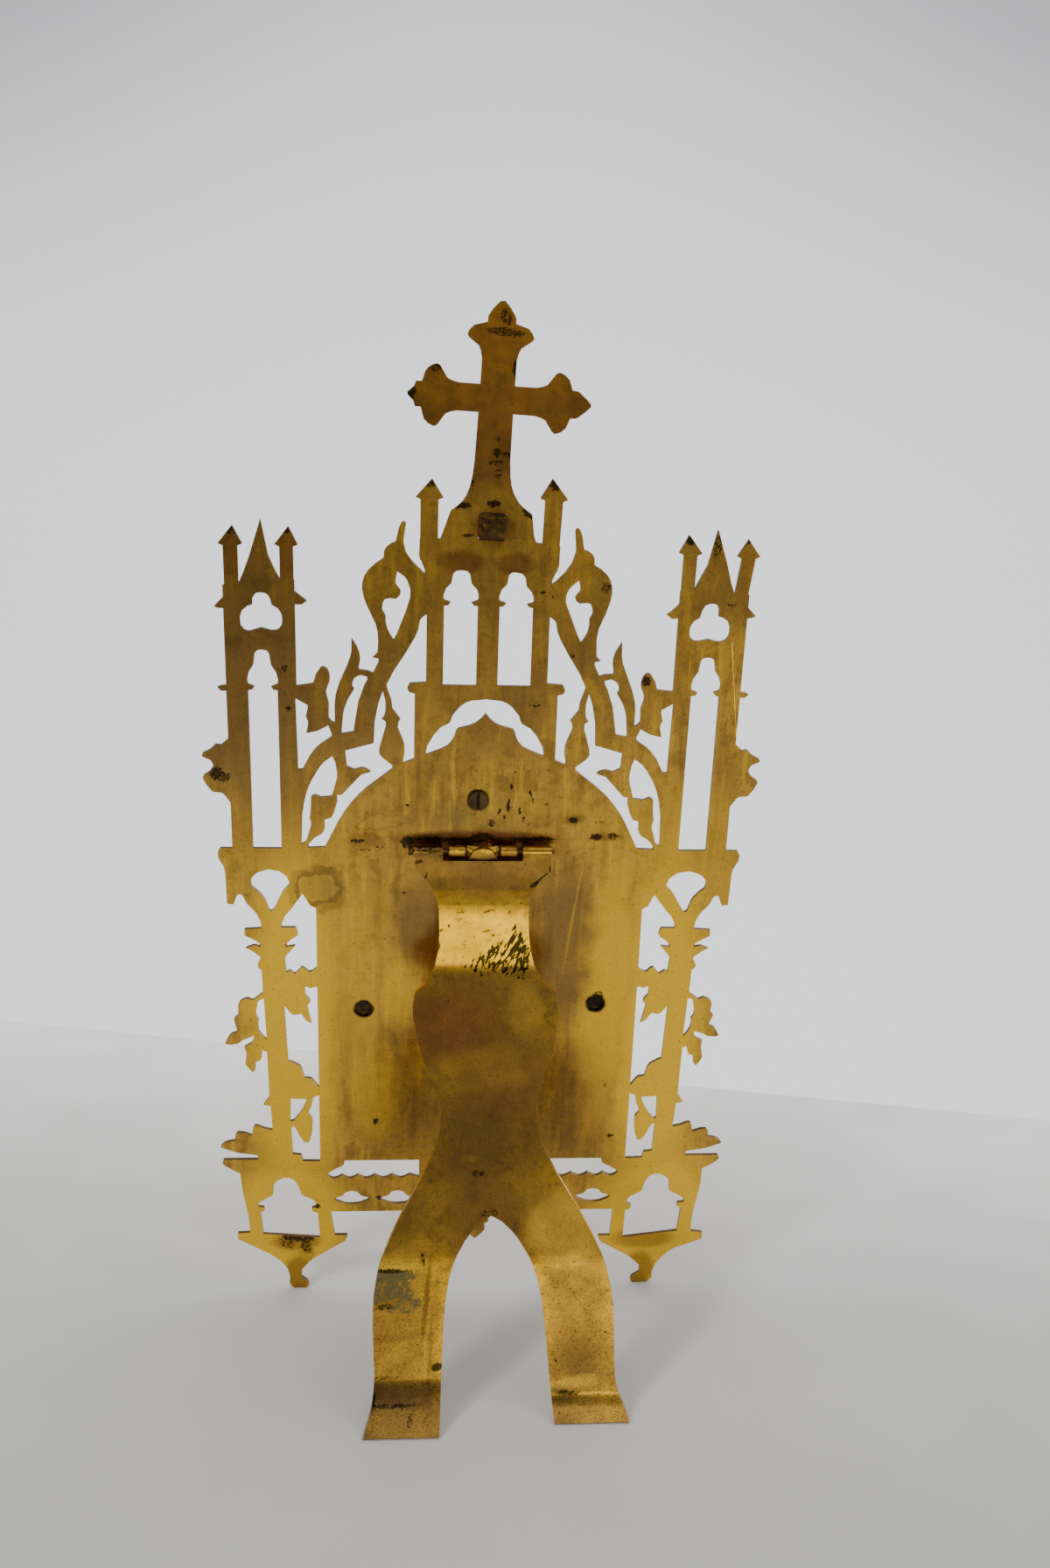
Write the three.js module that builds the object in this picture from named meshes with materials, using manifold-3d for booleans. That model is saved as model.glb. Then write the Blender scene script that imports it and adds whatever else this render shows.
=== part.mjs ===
// A small Gothic altarpiece sawn from brass sheet, standing on its own hinged strut.
// Outlines are drawn on the back of the plate: a runs right as seen from behind, u runs up the plate
// from its feet, and n comes out of its back face. Lengths are millimetres, angles are degrees.
import * as THREE from "three";
import { mergeVertices } from "three/addons/utils/BufferGeometryUtils.js";
import Module from "manifold-3d";

const wasm = await Module();
wasm.setup();

// Driving dimensions of the plate
const LEAN = 11;
const SHEET = 1.2;
const GAP = 0.3;
const TOWER_EDGE = 74.7;
const TOWER_INNER = 54.7;
const CORNICE_TOP = 162.4;
const PANEL_HALF = 50.2;
const GABLE_HALF = 17.6;
const RAIL_BOTTOM = 30.8;

// Driving dimensions of the cross, which has been knocked a little to one side
const CROSS_CENTRE = [0.6, 294.4];
const CROSS_BEND = 2.4;
const BOSS_CENTRE = [0.4, 259.8];
const SHANK_HALF = 3.5;

// Driving dimensions of the hinge and the strut
const PIN_U = 163;
const PIN_N = 4;
const PIN_RADIUS = 0.6;
const KNUCKLE_RADIUS = 1.7;
const LUG_HALF = 10.4;
const KNUCKLE_FROM = 12;
const KNUCKLE_TO = 20.6;
const STRUT_SHEET = 1.3;
const STRUT_SKEW = 1.8;

// Driving dimensions of the arched frame on the front, and of the screws that hold it
const FRAME_RADIUS = 36.5;
const FRAME_CENTRE = 141.5;
const FRAME_BOTTOM = 58;
const FRAME_HALF_WIDTH = 4.5;
const FRAME_DEPTH = 4;
const SCREW_DEPTH = 4.4;
const TOP_SCREW = { at: [-1.7, 178], shank: 1.5, head: 3, height: 1, slot: 0.45 };
const SIDE_SCREWS = { left_screw: [-36, 107.1], right_screw: [37.1, 108.8] };
const SIDE_SCREW_RADIUS = 2.4;
const SIDE_SCREW_SUNK = 0.7;

// The saw cuts' upper edges are filed back by this much.
const FILED = 0.6;

// Fineness of round work: steps between two points of a curve, how flat a run may be drawn straight,
// and the sides of a round bar
const CURVE_STEPS = 5;
const FLATNESS = 0.13;
const ROUND_SIDES = 16;

const radians = THREE.MathUtils.degToRad;

// Stretches of an outline: a curve runs smoothly through its points, a line goes straight between them.
const curve = (...points) => ({ smooth: true, points });
const line = (...points) => ({ smooth: false, points });

const smoothed = (via) => new THREE.SplineCurve(via).getPoints(CURVE_STEPS * (via.length - 1));

// Leaves out the points of an outline that lie almost on a straight run between their neighbours.
function thinned(points) {
  const [start, end] = [points[0], points.at(-1)];
  const along = end.clone().sub(start).normalize();
  const offsets = points.map((point) => Math.abs(along.cross(point.clone().sub(start))));
  const furthest = offsets.indexOf(Math.max(...offsets));
  if (offsets[furthest] < FLATNESS) return [start, end];
  return [...thinned(points.slice(0, furthest + 1)), ...thinned(points.slice(furthest)).slice(1)];
}

function drawn(...stretches) {
  const points = [];
  for (const { smooth, points: through } of stretches) {
    const start = points.slice(-1);
    const via = [...start, ...through.map(([a, u]) => new THREE.Vector2(a, u))];
    points.push(...(smooth ? smoothed(via) : via).slice(start.length));
  }
  return points;
}

const mirrored = (points) => points.map(({ x, y }) => new THREE.Vector2(-x, y)).reverse();

// The right half was sawn by eye and strays from the left one: a place, and how far the outline
// near it is off.
const STRAYS = [
  { at: [72, 257], by: [1.9, -1] },
  { at: [52, 238], by: [0, -2.2] },
  { at: [65, 233], by: [-0.3, -1.2] },
  { at: [17, 273], by: [0.3, 0.8] },
  { at: [24, 260], by: [0.2, -0.8] },
  { at: [20, 248], by: [-0.6, -2.6] },
  { at: [35, 242], by: [-0.8, 0] },
  { at: [45, 215], by: [0, -0.8] },
  { at: [58, 151], by: [-0.9, 0] },
  { at: [79, 97], by: [-1.6, 2.2] },
  { at: [71, 86], by: [0.3, 1.6] },
  { at: [77, 36], by: [0.8, 0] },
  { at: [78, 21], by: [0.7, -2.4] },
  { at: [56, 21], by: [0.2, -1.6] },
  { at: [42, 21], by: [1.2, -1.6] },
  { at: [65, 7], by: [1.8, -0.4] },
];
const STRAY_SPREAD = 6;

function strayed(point) {
  const off = STRAYS.reduce((sum, { at, by }) => {
    const near = Math.exp(-point.distanceToSquared(new THREE.Vector2(...at)) / (2 * STRAY_SPREAD ** 2));
    return sum.addScaledVector(new THREE.Vector2(...by), near);
  }, new THREE.Vector2());
  return point.clone().add(off);
}
const rightHand = (points) => mirrored(points).map(strayed);
const moved = (points, a, u, turn = 0) =>
  points.map((p) => p.clone().rotateAround(new THREE.Vector2(), radians(turn)).add(new THREE.Vector2(a, u)));
const rectangle = (a0, u0, a1, u1) => drawn(line([a0, u0], [a1, u0], [a1, u1], [a0, u1]));
const square = (half) => rectangle(-half, -half, half, half);

// Solids
function solid(geometry) {
  const bare = geometry.index ? geometry.toNonIndexed() : geometry.clone();
  bare.deleteAttribute("normal");
  bare.deleteAttribute("uv");
  const merged = mergeVertices(bare, 1e-4);
  return new wasm.Manifold(
    new wasm.Mesh({
      numProp: 3,
      vertProperties: merged.attributes.position.array,
      triVerts: new Uint32Array(merged.index.array),
    }),
  );
}

const union = (solids) => solids.reduce((sum, next) => sum.add(next));

const extruded = (shape, depth) => new THREE.ExtrudeGeometry(shape, { depth, bevelEnabled: false });

// An outline cut from sheet that lies between two distances from the back face.
function sawn(points, from = -SHEET, to = 0) {
  const shape = new THREE.Shape(thinned(points));
  return solid(extruded(shape, to - from).translate(0, 0, from));
}

// A round bar along n, or along a.
const barAlongN = (radius, [a, u], from, to, sides = ROUND_SIDES) =>
  solid(
    new THREE.CylinderGeometry(radius, radius, to - from, sides)
      .rotateX(Math.PI / 2)
      .translate(a, u, (from + to) / 2),
  );
const barAlongA = (radius, from, to, sides = ROUND_SIDES) =>
  solid(
    new THREE.CylinderGeometry(radius, radius, to - from, sides)
      .rotateZ(Math.PI / 2)
      .translate((from + to) / 2, PIN_U, PIN_N),
  );

// A shape on the left of the plate with its fellow on the right, and the same for an opening.
const pair = (points) => [sawn(points), sawn(rightHand(points))];
const piercing = (points) => sawn(points, -SHEET - 1, 1);
const piercedPair = (points) => [piercing(points), piercing(rightHand(points))];

// Repeated motifs of the plate

// A pinnacle: a square shaft under a small gabled cap that overhangs it.
function pinnacle(centre, base, tip, half) {
  const overhang = half + 1.4;
  const eaves = tip - 5.7;
  const lean = 0.7;
  return drawn(
    line([centre - half, base], [centre - half, eaves - 0.6], [centre - overhang, eaves]),
    line([centre - overhang, eaves + 0.5], [centre + lean, tip], [centre + overhang, eaves + 0.5]),
    line([centre + overhang, eaves], [centre + half, eaves - 0.6], [centre + half, base]),
  );
}

// A string course end: a small beak that stands out of an upright edge, to the left where side is -1.
function beak({ edge, side, reach, top, tip, bottom }) {
  const out = edge + side * reach;
  const inside = edge - side;
  return drawn(
    line([inside, top], [edge, top]),
    curve([edge + (side * reach) / 2, (top + 2 * tip) / 3 + 0.4], [out, tip]),
    line([edge + (side * reach) / 2, bottom], [inside, bottom]),
  );
}

// A tall window with a three-lobed head, standing on small brackets.
function lancet(centre, bottom, spring, top, half) {
  const rise = top - spring;
  const right = drawn(
    line([centre, bottom], [centre + half - 0.1, bottom], [centre + half - 0.1, spring - 1.6]),
    line([centre + half - 1.3, spring - 1.4], [centre + half - 2.3, spring]),
    curve([centre + half - 0.2, spring + 0.08 * rise], [centre + half, spring + 0.22 * rise],
      [centre + half - 0.6, spring + 0.4 * rise], [centre + 0.58 * half, spring + 0.57 * rise]),
    curve([centre + 0.52 * half, spring + 0.7 * rise], [centre + 0.5 * half, spring + 0.86 * rise],
      [centre + 0.3 * half, spring + 0.98 * rise], [centre, top]),
  );
  const left = right.map(({ x, y }) => new THREE.Vector2(2 * centre - x, y)).reverse();
  return [...right, ...left.slice(1, -1)];
}

// One arm of the cross, pointing up from the origin: a straight bar, two lobes and a leaf tip.
function crossArm({ half, lobe, leaf, reach }) {
  const right = drawn(
    line([half, -8], [half, 10.5]),
    curve([half + 1, 13.6], [lobe - 0.4, 15.6], [lobe, 17.2], [lobe - 1.6, 19.4], [leaf, 20.4]),
    curve([leaf - 0.1, 22], [0.58 * leaf, reach - 1.9], [0.5, reach - 0.1]),
  );
  return [...right, ...mirrored(right).slice(1)];
}

// A pointed oval slot in the rail, with a humped top.
function lozenge(centre, level) {
  const half = drawn(
    line([0, -1.8]),
    curve([2.4, -1.6], [6, 0]),
    curve([3, 1], [1.8, 2.5], [0, 2.9]),
  );
  return moved([...half, ...mirrored(half).slice(1, -1)], centre, level);
}

// The left half of the plate, in stretches from the gable down to the foot

const gableTop = line([1, 258], [-14.5, 256.7], [-19.8, 256.5], [-20, 251.3], [-18, 246.5]);

const crocketEdge = [
  curve([-22.7, 251.2], [-24.2, 254.8], [-24, 258], [-23.5, 260.8]),
  curve([-24.3, 261.4], [-25.3, 260.4], [-26, 258], [-26.5, 255.6]),
  curve([-28.2, 254.8], [-29.6, 253.2], [-29.9, 250.9]),
  curve([-32.7, 248.8], [-35, 246.2], [-35.9, 243], [-35.5, 239.3], [-33.9, 235.2], [-32, 231.2],
    [-31.4, 227.5], [-31.6, 223.4]),
  line([-33.4, 221.6], [-31.1, 221.1], [-32.8, 217.5]),
];

const leavesEdge = [
  curve([-34.4, 218.1], [-36.9, 218.4]),
  curve([-36.4, 221.6], [-37.2, 225], [-38.9, 227.8]),
  curve([-39.1, 223.1], [-40.3, 219.4], [-42.5, 214.4], [-43.8, 209.4], [-43.9, 202.2]),
  curve([-45.6, 203.8], [-45.5, 208.1], [-46.3, 211.3]),
  curve([-45.1, 215], [-45.6, 218.1], [-47.2, 219.2], [-48.4, 218.1], [-49.4, 216.3], [-50, 214.1]),
  line([-54.4, 213.3], [-TOWER_INNER, 213.3]),
];

const towerEdge = [
  line([-TOWER_INNER, 244.2], [-60, 244], [-69, 242.4], [-TOWER_EDGE, 242.4], [-TOWER_EDGE, 196.9]),
  curve([-76.9, 195], [-78.4, 195.2], [-80, 193.6], [-82.2, 192.5], [-82.4, 190.9], [-80, 189.7],
    [-79.3, 188.4]),
  curve([-80.3, 186.9], [-82.4, 185.3], [-82.2, 183.4], [-80, 180], [-76.9, 179.4], [-75.6, 177.5],
    [-TOWER_EDGE, 176.4]),
];

const corniceEdge = [
  line([-TOWER_EDGE, CORNICE_TOP], [-78.3, CORNICE_TOP]),
  curve([-79.1, 160.8], [-78.9, 158.5], [-77.5, 155.8], [-77, 153]),
  line([-76.9, 143.5], [-75, 143.2]),
  curve([-73.8, 146.3], [-72.3, 146.3], [-71, 143.5]),
  curve([-68.6, 140.8], [-67.3, 138.3], [-66.8, 135.8]),
];

const capitalEdge = [
  line([-72, 135.5], [-72.1, 132.8]),
  curve([-70, 131.8], [-67.8, 130.3], [-67, 129.3]),
  curve([-69.5, 130], [-72.4, 128.8]),
  curve([-70, 127.5], [-67.3, 125.3]),
  curve([-68.4, 123.3], [-68.3, 121.8], [-67.2, 120.8]),
  line([-67, 113.5]),
];

const clusterEdge = [
  curve([-70, 111], [-71.9, 111.6], [-74.3, 110.3], [-74.9, 108], [-74.8, 105.8]),
  curve([-76.2, 104.2], [-76.1, 102.4], [-75.4, 99.6]),
  curve([-77.4, 98.7], [-78.6, 97], [-79.5, 94.8]),
  curve([-77.4, 94.4], [-75.3, 94.8]),
  curve([-73.6, 96.1], [-70, 97.7]),
  curve([-71, 95.6], [-73.4, 94.1]),
  curve([-72.8, 91.3], [-73.1, 87.3], [-70.9, 84.3]),
  curve([-70, 85.6], [-70.1, 87.9]),
  curve([-68.3, 88.9], [-67.8, 91.3], [-67.9, 92.4], [-66.3, 91.6]),
];

const columnFoot = [
  line([-66, 75.7], [-68.3, 72.3], [-65.7, 71.7], [-65.3, 63.3]),
  curve([-68, 64], [-71, 65], [-72, 61.3]),
  curve([-74.5, 62.3], [-76.9, 62.2], [-77.5, 59.3]),
  curve([-80, 58.9], [-81.7, 57.7], [-82.3, 56.3]),
  curve([-79, 55], [-76, 54], [-70.5, 53.2]),
];

const baseEdge = [
  line([-70, 52.1], [-81.3, 52.1]),
  curve([-81.8, 50.7], [-81, 49.2], [-77.7, 47], [-76.2, 46.3]),
  line([-75.7, 40], [-74, 29.3], [-73.7, 23.3], [-77.7, 23.2], [-77.8, 20.3]),
  curve([-73, 17.3], [-66.3, 13.3], [-62, 8.7], [-60.9, 4.7]),
];

const footEdge = [
  curve([-61.1, 2], [-59.4, -0.4], [-57.8, -1], [-55.9, -0.4], [-54.6, 1.3], [-55, 3.3]),
  line([-57, 5], [-57, 7.3]),
  curve([-53.7, 11.3], [-49, 14.7], [-42.3, 19]),
  line([-41.5, 21.3], [-41.7, 21.9], [-45.7, 21.9], [-47, RAIL_BOTTOM], [1, RAIL_BOTTOM]),
];

// The left half's piercings, from top to bottom

const crocketHole = [
  line([-26, 246.6]),
  curve([-23.6, 244.8], [-22.3, 241.5], [-22.7, 238.3], [-24.3, 233.7], [-26, 229.2], [-26.9, 227.4]),
  curve([-28.4, 229.8], [-29.1, 232], [-29.2, 234.4]),
  curve([-30.2, 236.2], [-29.5, 238.5], [-27.8, 238.9]),
  curve([-26.1, 238.8], [-25, 240.3], [-25.1, 242], [-26.5, 243.8]),
];

const stemOpening = [
  line([-GABLE_HALF, 234.4]),
  curve([-19.4, 232.8], [-20.3, 228.8], [-23.4, 223.1], [-26.9, 217.5], [-28.9, 213.4]),
  curve([-27.5, 209.4], [-27.2, 206.8], [-24.7, 203.4]),
  curve([-25.6, 200.9], [-23.8, 196.3], [-23.6, 192.5], [-24.1, 189.9]),
  line([-20.9, 191.3], [-20.8, 210.8], [-22.5, 211.3]),
  curve([-23, 212.9], [-22.2, 214.6]),
  line([-GABLE_HALF, 214.9]),
];

const flameSlit = [
  line([-34.3, 215.6]),
  curve([-36.2, 216.2], [-38.2, 215.2], [-38.8, 213.5]),
  curve([-38.2, 212], [-40, 208.9], [-41.3, 205], [-41.9, 198.9]),
  line([-38.6, 199.5]),
  curve([-37.8, 205], [-36.9, 209.4], [-35.3, 213.8]),
];

const budSlit = [
  line([-30, 211.4]),
  curve([-29.3, 208.5], [-29.4, 205], [-30.6, 203.1]),
  curve([-29.1, 201.4], [-30.9, 195], [-31.1, 192.5], [-29.7, 190.6], [-26.9, 188.4]),
  curve([-31.3, 185], [-36.3, 180.6], [-40, 176.3], [-43.1, 171.3], [-45.3, 166.9], [-47.2, 162.9]),
  line([-52.5, 162.7]),
  curve([-50.3, 165.3], [-48.1, 166.6], [-47.1, 168.5]),
  curve([-47.1, 171.1], [-45, 172.2], [-43.4, 176.9], [-43.4, 179.3]),
  curve([-41.9, 179.3], [-38.4, 183.1], [-36.3, 185.6], [-33.3, 186.6]),
  curve([-34.1, 187.8], [-36.3, 188.4], [-38.4, 187.8], [-40.5, 188.8]),
  line([-40.9, 193.1]),
  curve([-35.6, 194.5], [-32.6, 195.5]),
  curve([-32.5, 198.5], [-32.2, 203.1], [-31.3, 207.5]),
];

const leafGap = [
  line([-45.8, 200.8]),
  curve([-48.8, 199.1], [-52.3, 198.3]),
  curve([-51.6, 201.9], [-52.3, 203.8], [-51.6, 206.9]),
  line([-55.1, 208.9], [-TOWER_INNER, 187.6], [-53.4, 187.8]),
  curve([-51.3, 191.9], [-48.8, 195], [-44.7, 198]),
];

const ribSlit = [
  line([-44.7, 191.3]),
  curve([-47.5, 189.1], [-50, 185.3], [-51.9, 181.3], [-53.1, 176.9], [-53.9, 171.3], [-54.1, 163.8]),
  line([-52.8, 164.7]),
  curve([-51.3, 169.7], [-51.7, 171.9], [-51.3, 175], [-51.1, 179.1]),
  curve([-50, 179.7], [-48.1, 178.9], [-45, 179.3]),
  curve([-44.1, 182.5], [-43.4, 185.6], [-43.9, 189.4]),
];

const fanOpening = [
  line([-64.3, 154.9]),
  curve([-67.5, 153.8], [-69.3, 152], [-69.4, 150], [-67.8, 148.5], [-65.8, 146], [-64.3, 142]),
  line([-63.6, 141.6]),
  curve([-62.8, 142.5], [-61, 146.5], [-59.5, 149], [-58, 150.5]),
  curve([-58.8, 152.5], [-61, 154.3]),
];

const capitalSlit = [
  line([-54.2, 146.8]),
  curve([-55.5, 145], [-57.8, 141.5], [-59.5, 139.5], [-60.9, 136.1]),
  line([-56.5, 136.1]),
  curve([-55.9, 134.5], [-56, 132.8], [-57.8, 131.5], [-60, 129.4]),
  curve([-58, 129.8], [-56.1, 130]),
  curve([-57, 128.8], [-59, 126.5], [-59.9, 125], [-59.5, 120.6]),
  curve([-58.5, 121.3], [-56.9, 120.2], [-54.8, 122.5], [-53, 121], [-51.8, 121], [-PANEL_HALF, 122.3]),
  line([-PANEL_HALF, 142]),
  curve([-52, 143], [-52.8, 144.5]),
];

const columnSlit = [
  line([-PANEL_HALF, 115]),
  curve([-52.3, 114.5], [-53.8, 115]),
  curve([-54, 112.8], [-52.8, 111.3], [-52.3, 109.8], [-53.3, 108], [-52, 101.8]),
  curve([-53.8, 103], [-55.3, 105.3], [-57, 105], [-58.5, 105.5], [-60.5, 108.3]),
  line([-59.7, 89]),
  curve([-58.3, 88.5], [-55.7, 86.7], [-54.7, 83], [-52.3, 82.3], [-PANEL_HALF, 79.3]),
];

const clusterSlit = [
  line([-66.8, 110.8]),
  curve([-68.5, 110], [-69, 108], [-69.3, 105.3], [-68.4, 103.5], [-68.8, 101], [-67.8, 98.5], [-66.3, 96.8]),
];

const smallTriangle = [
  line([-59.3, 74.5], [-54.2, 74.3]),
  curve([-55.7, 70.7], [-58.3, 67], [-59.5, 66.7]),
];

const footSlit = [
  line([-PANEL_HALF, 75.7], [-52, 75]),
  curve([-52.8, 71.3], [-53.7, 69.3], [-52.5, 67.3], [-52.5, 62.7], [-53.3, 58.7], [-54.2, 57.7]),
  curve([-55.7, 58.7], [-58.3, 64]),
  line([-59.3, 63.7], [-59, 54], [-56.3, 53.7], [-55.7, 51.3], [-PANEL_HALF, 51.2]),
];

const railSlit = [
  line([-18, 50.8], [-42.3, 50.8]),
  curve([-42.7, 48.9], [-45, 47.7], [-48, 45.7]),
  ...[-45.8, -40.7, -35.2, -29.6, -23.9].map((dip) => curve([dip, 44.4], [dip + 2.8, 45.7])),
  line([-18, 44.7]),
];

const pedestalOpening = [
  line([-70, 31]),
  line([-69.3, 22.7], [-50.7, 21]),
  line([-51.3, 30.3], [-53, 31], [-53.3, 32.7]),
  curve([-51.7, 33.7], [-53, 35.7], [-56.7, 37.7]),
  curve([-57, 39.7], [-58.7, 43.3], [-62, 44.3], [-65.3, 42], [-65.7, 37.7]),
  curve([-70, 35], [-70.7, 33.7], [-68.7, 33.3]),
  line([-68.7, 31.3]),
];

const towerTrefoil = [
  line([-66.6, 236.4]),
  curve([-66.5, 238.3], [-65.6, 239.6], [-64.1, 239.9], [-62.5, 239.5], [-61.6, 238.2], [-61.2, 236.4]),
  curve([-59.5, 235.4], [-58.5, 233.6], [-58.4, 231.8], [-59.2, 230.2], [-60.9, 229.5], [-64.3, 230.3]),
  curve([-66.2, 229.6], [-68.2, 229.3], [-69.7, 230.3], [-70.2, 232.3], [-69.5, 234.6], [-68, 235.9]),
];

// The lens between the top of the arch and the gable runs across the middle of the plate.
const archLens = [
  line([0.5, 209.4]),
  curve([-4.4, 208.9], [-7.5, 207.2], [-9.7, 204.4]),
  curve([-10.6, 202], [-13.1, 200.6], [-15, 198.4], [-16.9, 195], [-17.4, 192.6]),
  curve([-13.1, 194.4], [-10.6, 195.9], [-9.1, 198.4]),
  curve([-8.1, 200.9], [-4.4, 201.9], [-1.9, 203.4], [0.5, 206.2]),
];

// The cross: three leaf-ended arms on a shaft that spreads into the gable, further on the right.
function cross() {
  const sideArmLift = 0.3;
  const arms = [
    moved(crossArm({ half: 4.7, lobe: 8.9, leaf: 3.8, reach: 26.2 }), 0, 0),
    moved(crossArm({ half: 4, lobe: 8.4, leaf: 3.7, reach: 24.4 }), 0, sideArmLift, 90),
    moved(crossArm({ half: 4, lobe: 8.3, leaf: 4, reach: 26 }), 0, sideArmLift, -90),
  ];
  const leftOfShaft = drawn(
    line([-4.7, 0]),
    curve([-4.8, -9.9], [-5, -17.4], [-5.7, -23.2], [-7.4, -27.3], [-10.6, -30.3]),
    line([-13.6, -40]),
  );
  const rightOfShaft = drawn(
    line([15, -40], [13.1, -36], [12.1, -30]),
    curve([8.6, -27.4], [6.1, -23.4], [5, -17.4], [4.8, -9.9], [4.7, 0]),
  );
  const shaft = [...leftOfShaft, ...rightOfShaft];
  return union([...arms, shaft].map((part) => sawn(moved(part, ...CROSS_CENTRE, -CROSS_BEND))));
}

// The leaf that hangs under the middle of the rail.
function pendant() {
  const left = drawn(
    line([0, 32], [-1.6, 32]),
    curve([-1.2, 29.4], [-3.6, 28.4], [-4.6, 26.4], [-3, 25.2]),
    curve([-3.2, 22.6], [0, 19.2]),
  );
  return sawn(moved([...left, ...mirrored(left).slice(1, -1)], 1, 0));
}

function backPlate(belowTable) {
  const leftHalf = drawn(
    gableTop, ...crocketEdge, ...leavesEdge, ...towerEdge, ...corniceEdge, ...capitalEdge, ...clusterEdge,
    ...columnFoot, ...baseEdge, ...footEdge,
  );
  const spire = drawn(line([-70.9, 241.6], [-68.8, 246.2], [-67, 251], [-63.7, 261.3], [-61.8, 251],
    [-59.8, 246.4], [-58.2, 243.5]));
  const additions = [
    leftHalf,
    spire,
    pinnacle(-17.2, 250, 273.3, 2.5),
    pinnacle(-72.2, 240, 259.3, 2),
    pinnacle(-56.8, 240, 259.3, 1.9),
    beak({ edge: -TOWER_EDGE, side: -1, reach: 2.9, top: 239, tip: 235.9, bottom: 235.2 }),
    beak({ edge: -TOWER_INNER, side: 1, reach: 3.8, top: 241, tip: 238, bottom: 236.6 }),
    beak({ edge: -TOWER_EDGE, side: -1, reach: 2.9, top: 213.2, tip: 212.4, bottom: 210.9 }),
  ];
  const piercings = [
    crocketHole, stemOpening, flameSlit, budSlit, leafGap, ribSlit, fanOpening, capitalSlit,
    columnSlit, clusterSlit, smallTriangle, footSlit, railSlit, pedestalOpening, towerTrefoil, archLens,
  ].map((stretches) => drawn(...stretches));
  const windows = [
    lancet(-7.9, 214.1, 238.6, 247.3, 4.9),
    lancet(-64.3, CORNICE_TOP, 212.8, 223.3, 4.3),
    lozenge(-40, 36),
    lozenge(-25, 36),
  ];
  const sheet = union([...additions.flatMap(pair), cross(), pendant()]);
  const openings = union([...piercings, ...windows].flatMap(piercedPair));
  const holes = union([
    barAlongN(TOP_SCREW.shank + GAP, TOP_SCREW.at, -SHEET - 1, 1),
    ...Object.values(SIDE_SCREWS).map((at) => barAlongN(SIDE_SCREW_RADIUS + GAP, at, -SHEET - 1, 1)),
    piercing(moved(square(SHANK_HALF + GAP), ...BOSS_CENTRE, -CROSS_BEND)),
  ]);
  const pierced = sheet.subtract(openings);
  return pierced.intersect(pierced.translate([0, -FILED, 0])).subtract(holes).subtract(belowTable);
}

// The strut's side profile: at these distances below the hinge the middle of the sheet stands at these
// angles to the plate, and it turns steadily from one to the next.
const STRUT_BENDS = [[0, 4], [7, 6], [21, 16], [34, 19.5], [38, 31.4], [117, 31.4], [122, 26.5]];
const LEFT_FOOT_BENDS = [[153, 28.5], [159, 50], [169.3, 62]];
const RIGHT_FOOT_BENDS = [[158, 22], [163, 54], [167.3, 62]];
const FINEST_BEND = 4;

// A band of sheet that follows the bends, between two distances along a.
function bentSheet(bends, from, to) {
  const middle = [new THREE.Vector2(PIN_N + KNUCKLE_RADIUS - STRUT_SHEET / 2, PIN_U)];
  const sides = [[], []];
  const mark = (angle) => {
    const across = new THREE.Vector2(Math.cos(radians(angle)), Math.sin(radians(angle)));
    sides.forEach((side, i) => {
      side.push(middle.at(-1).clone().addScaledVector(across, (i - 0.5) * STRUT_SHEET));
    });
  };
  mark(bends[0][1]);
  bends.slice(1).forEach(([end, angle], i) => {
    const [start, before] = bends[i];
    const parts = Math.max(1, Math.ceil(Math.abs(angle - before) / FINEST_BEND));
    for (let part = 1; part <= parts; part++) {
      const heading = radians(before + ((angle - before) * (part - 0.5)) / parts);
      const down = new THREE.Vector2(Math.sin(heading), -Math.cos(heading));
      middle.push(middle.at(-1).clone().addScaledVector(down, (end - start) / parts));
      mark(before + ((angle - before) * part) / parts);
    }
  });
  const profile = new THREE.Shape([...sides[0], ...sides[1].reverse()]);
  return solid(extruded(profile, to - from).rotateY(-Math.PI / 2).translate(to, 0, 0));
}

// The strut's outline seen square to the plate: shoulders, two necks, a belly and two splayed legs.
const STRUT_EDGE = [
  line([20.3, PIN_U + 3], [20.3, 157.4], [17.3, 154.9]),
  curve([14.8, 150.5], [13.6, 146], [13.5, 140], [13.9, 134], [15.3, 128.6], [18, 124.9], [21.2, 122]),
  curve([22, 118], [21.2, 112.5], [19.1, 105.5], [16.4, 99.5], [14.4, 94.5], [14.2, 91], [14.7, 87.2],
    [16.3, 83]),
  curve([19, 78.2], [22.6, 72.8], [26.2, 67.7], [30.2, 61.2], [33, 55], [34.6, 48.5], [35.1, 42], [35, 34],
    [34.9, 27], [35.6, 22], [37.1, 18.4], [38.5, 16]),
  line([38.5, 8], [17.2, 8]),
  curve([16.9, 14], [16.2, 20], [15.7, 27], [15.2, 34], [14.7, 40.5], [13.9, 46.8], [12.4, 53], [10, 58.2],
    [6.4, 62.8], [3, 65.6]),
  line([0, 67]),
];

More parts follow.
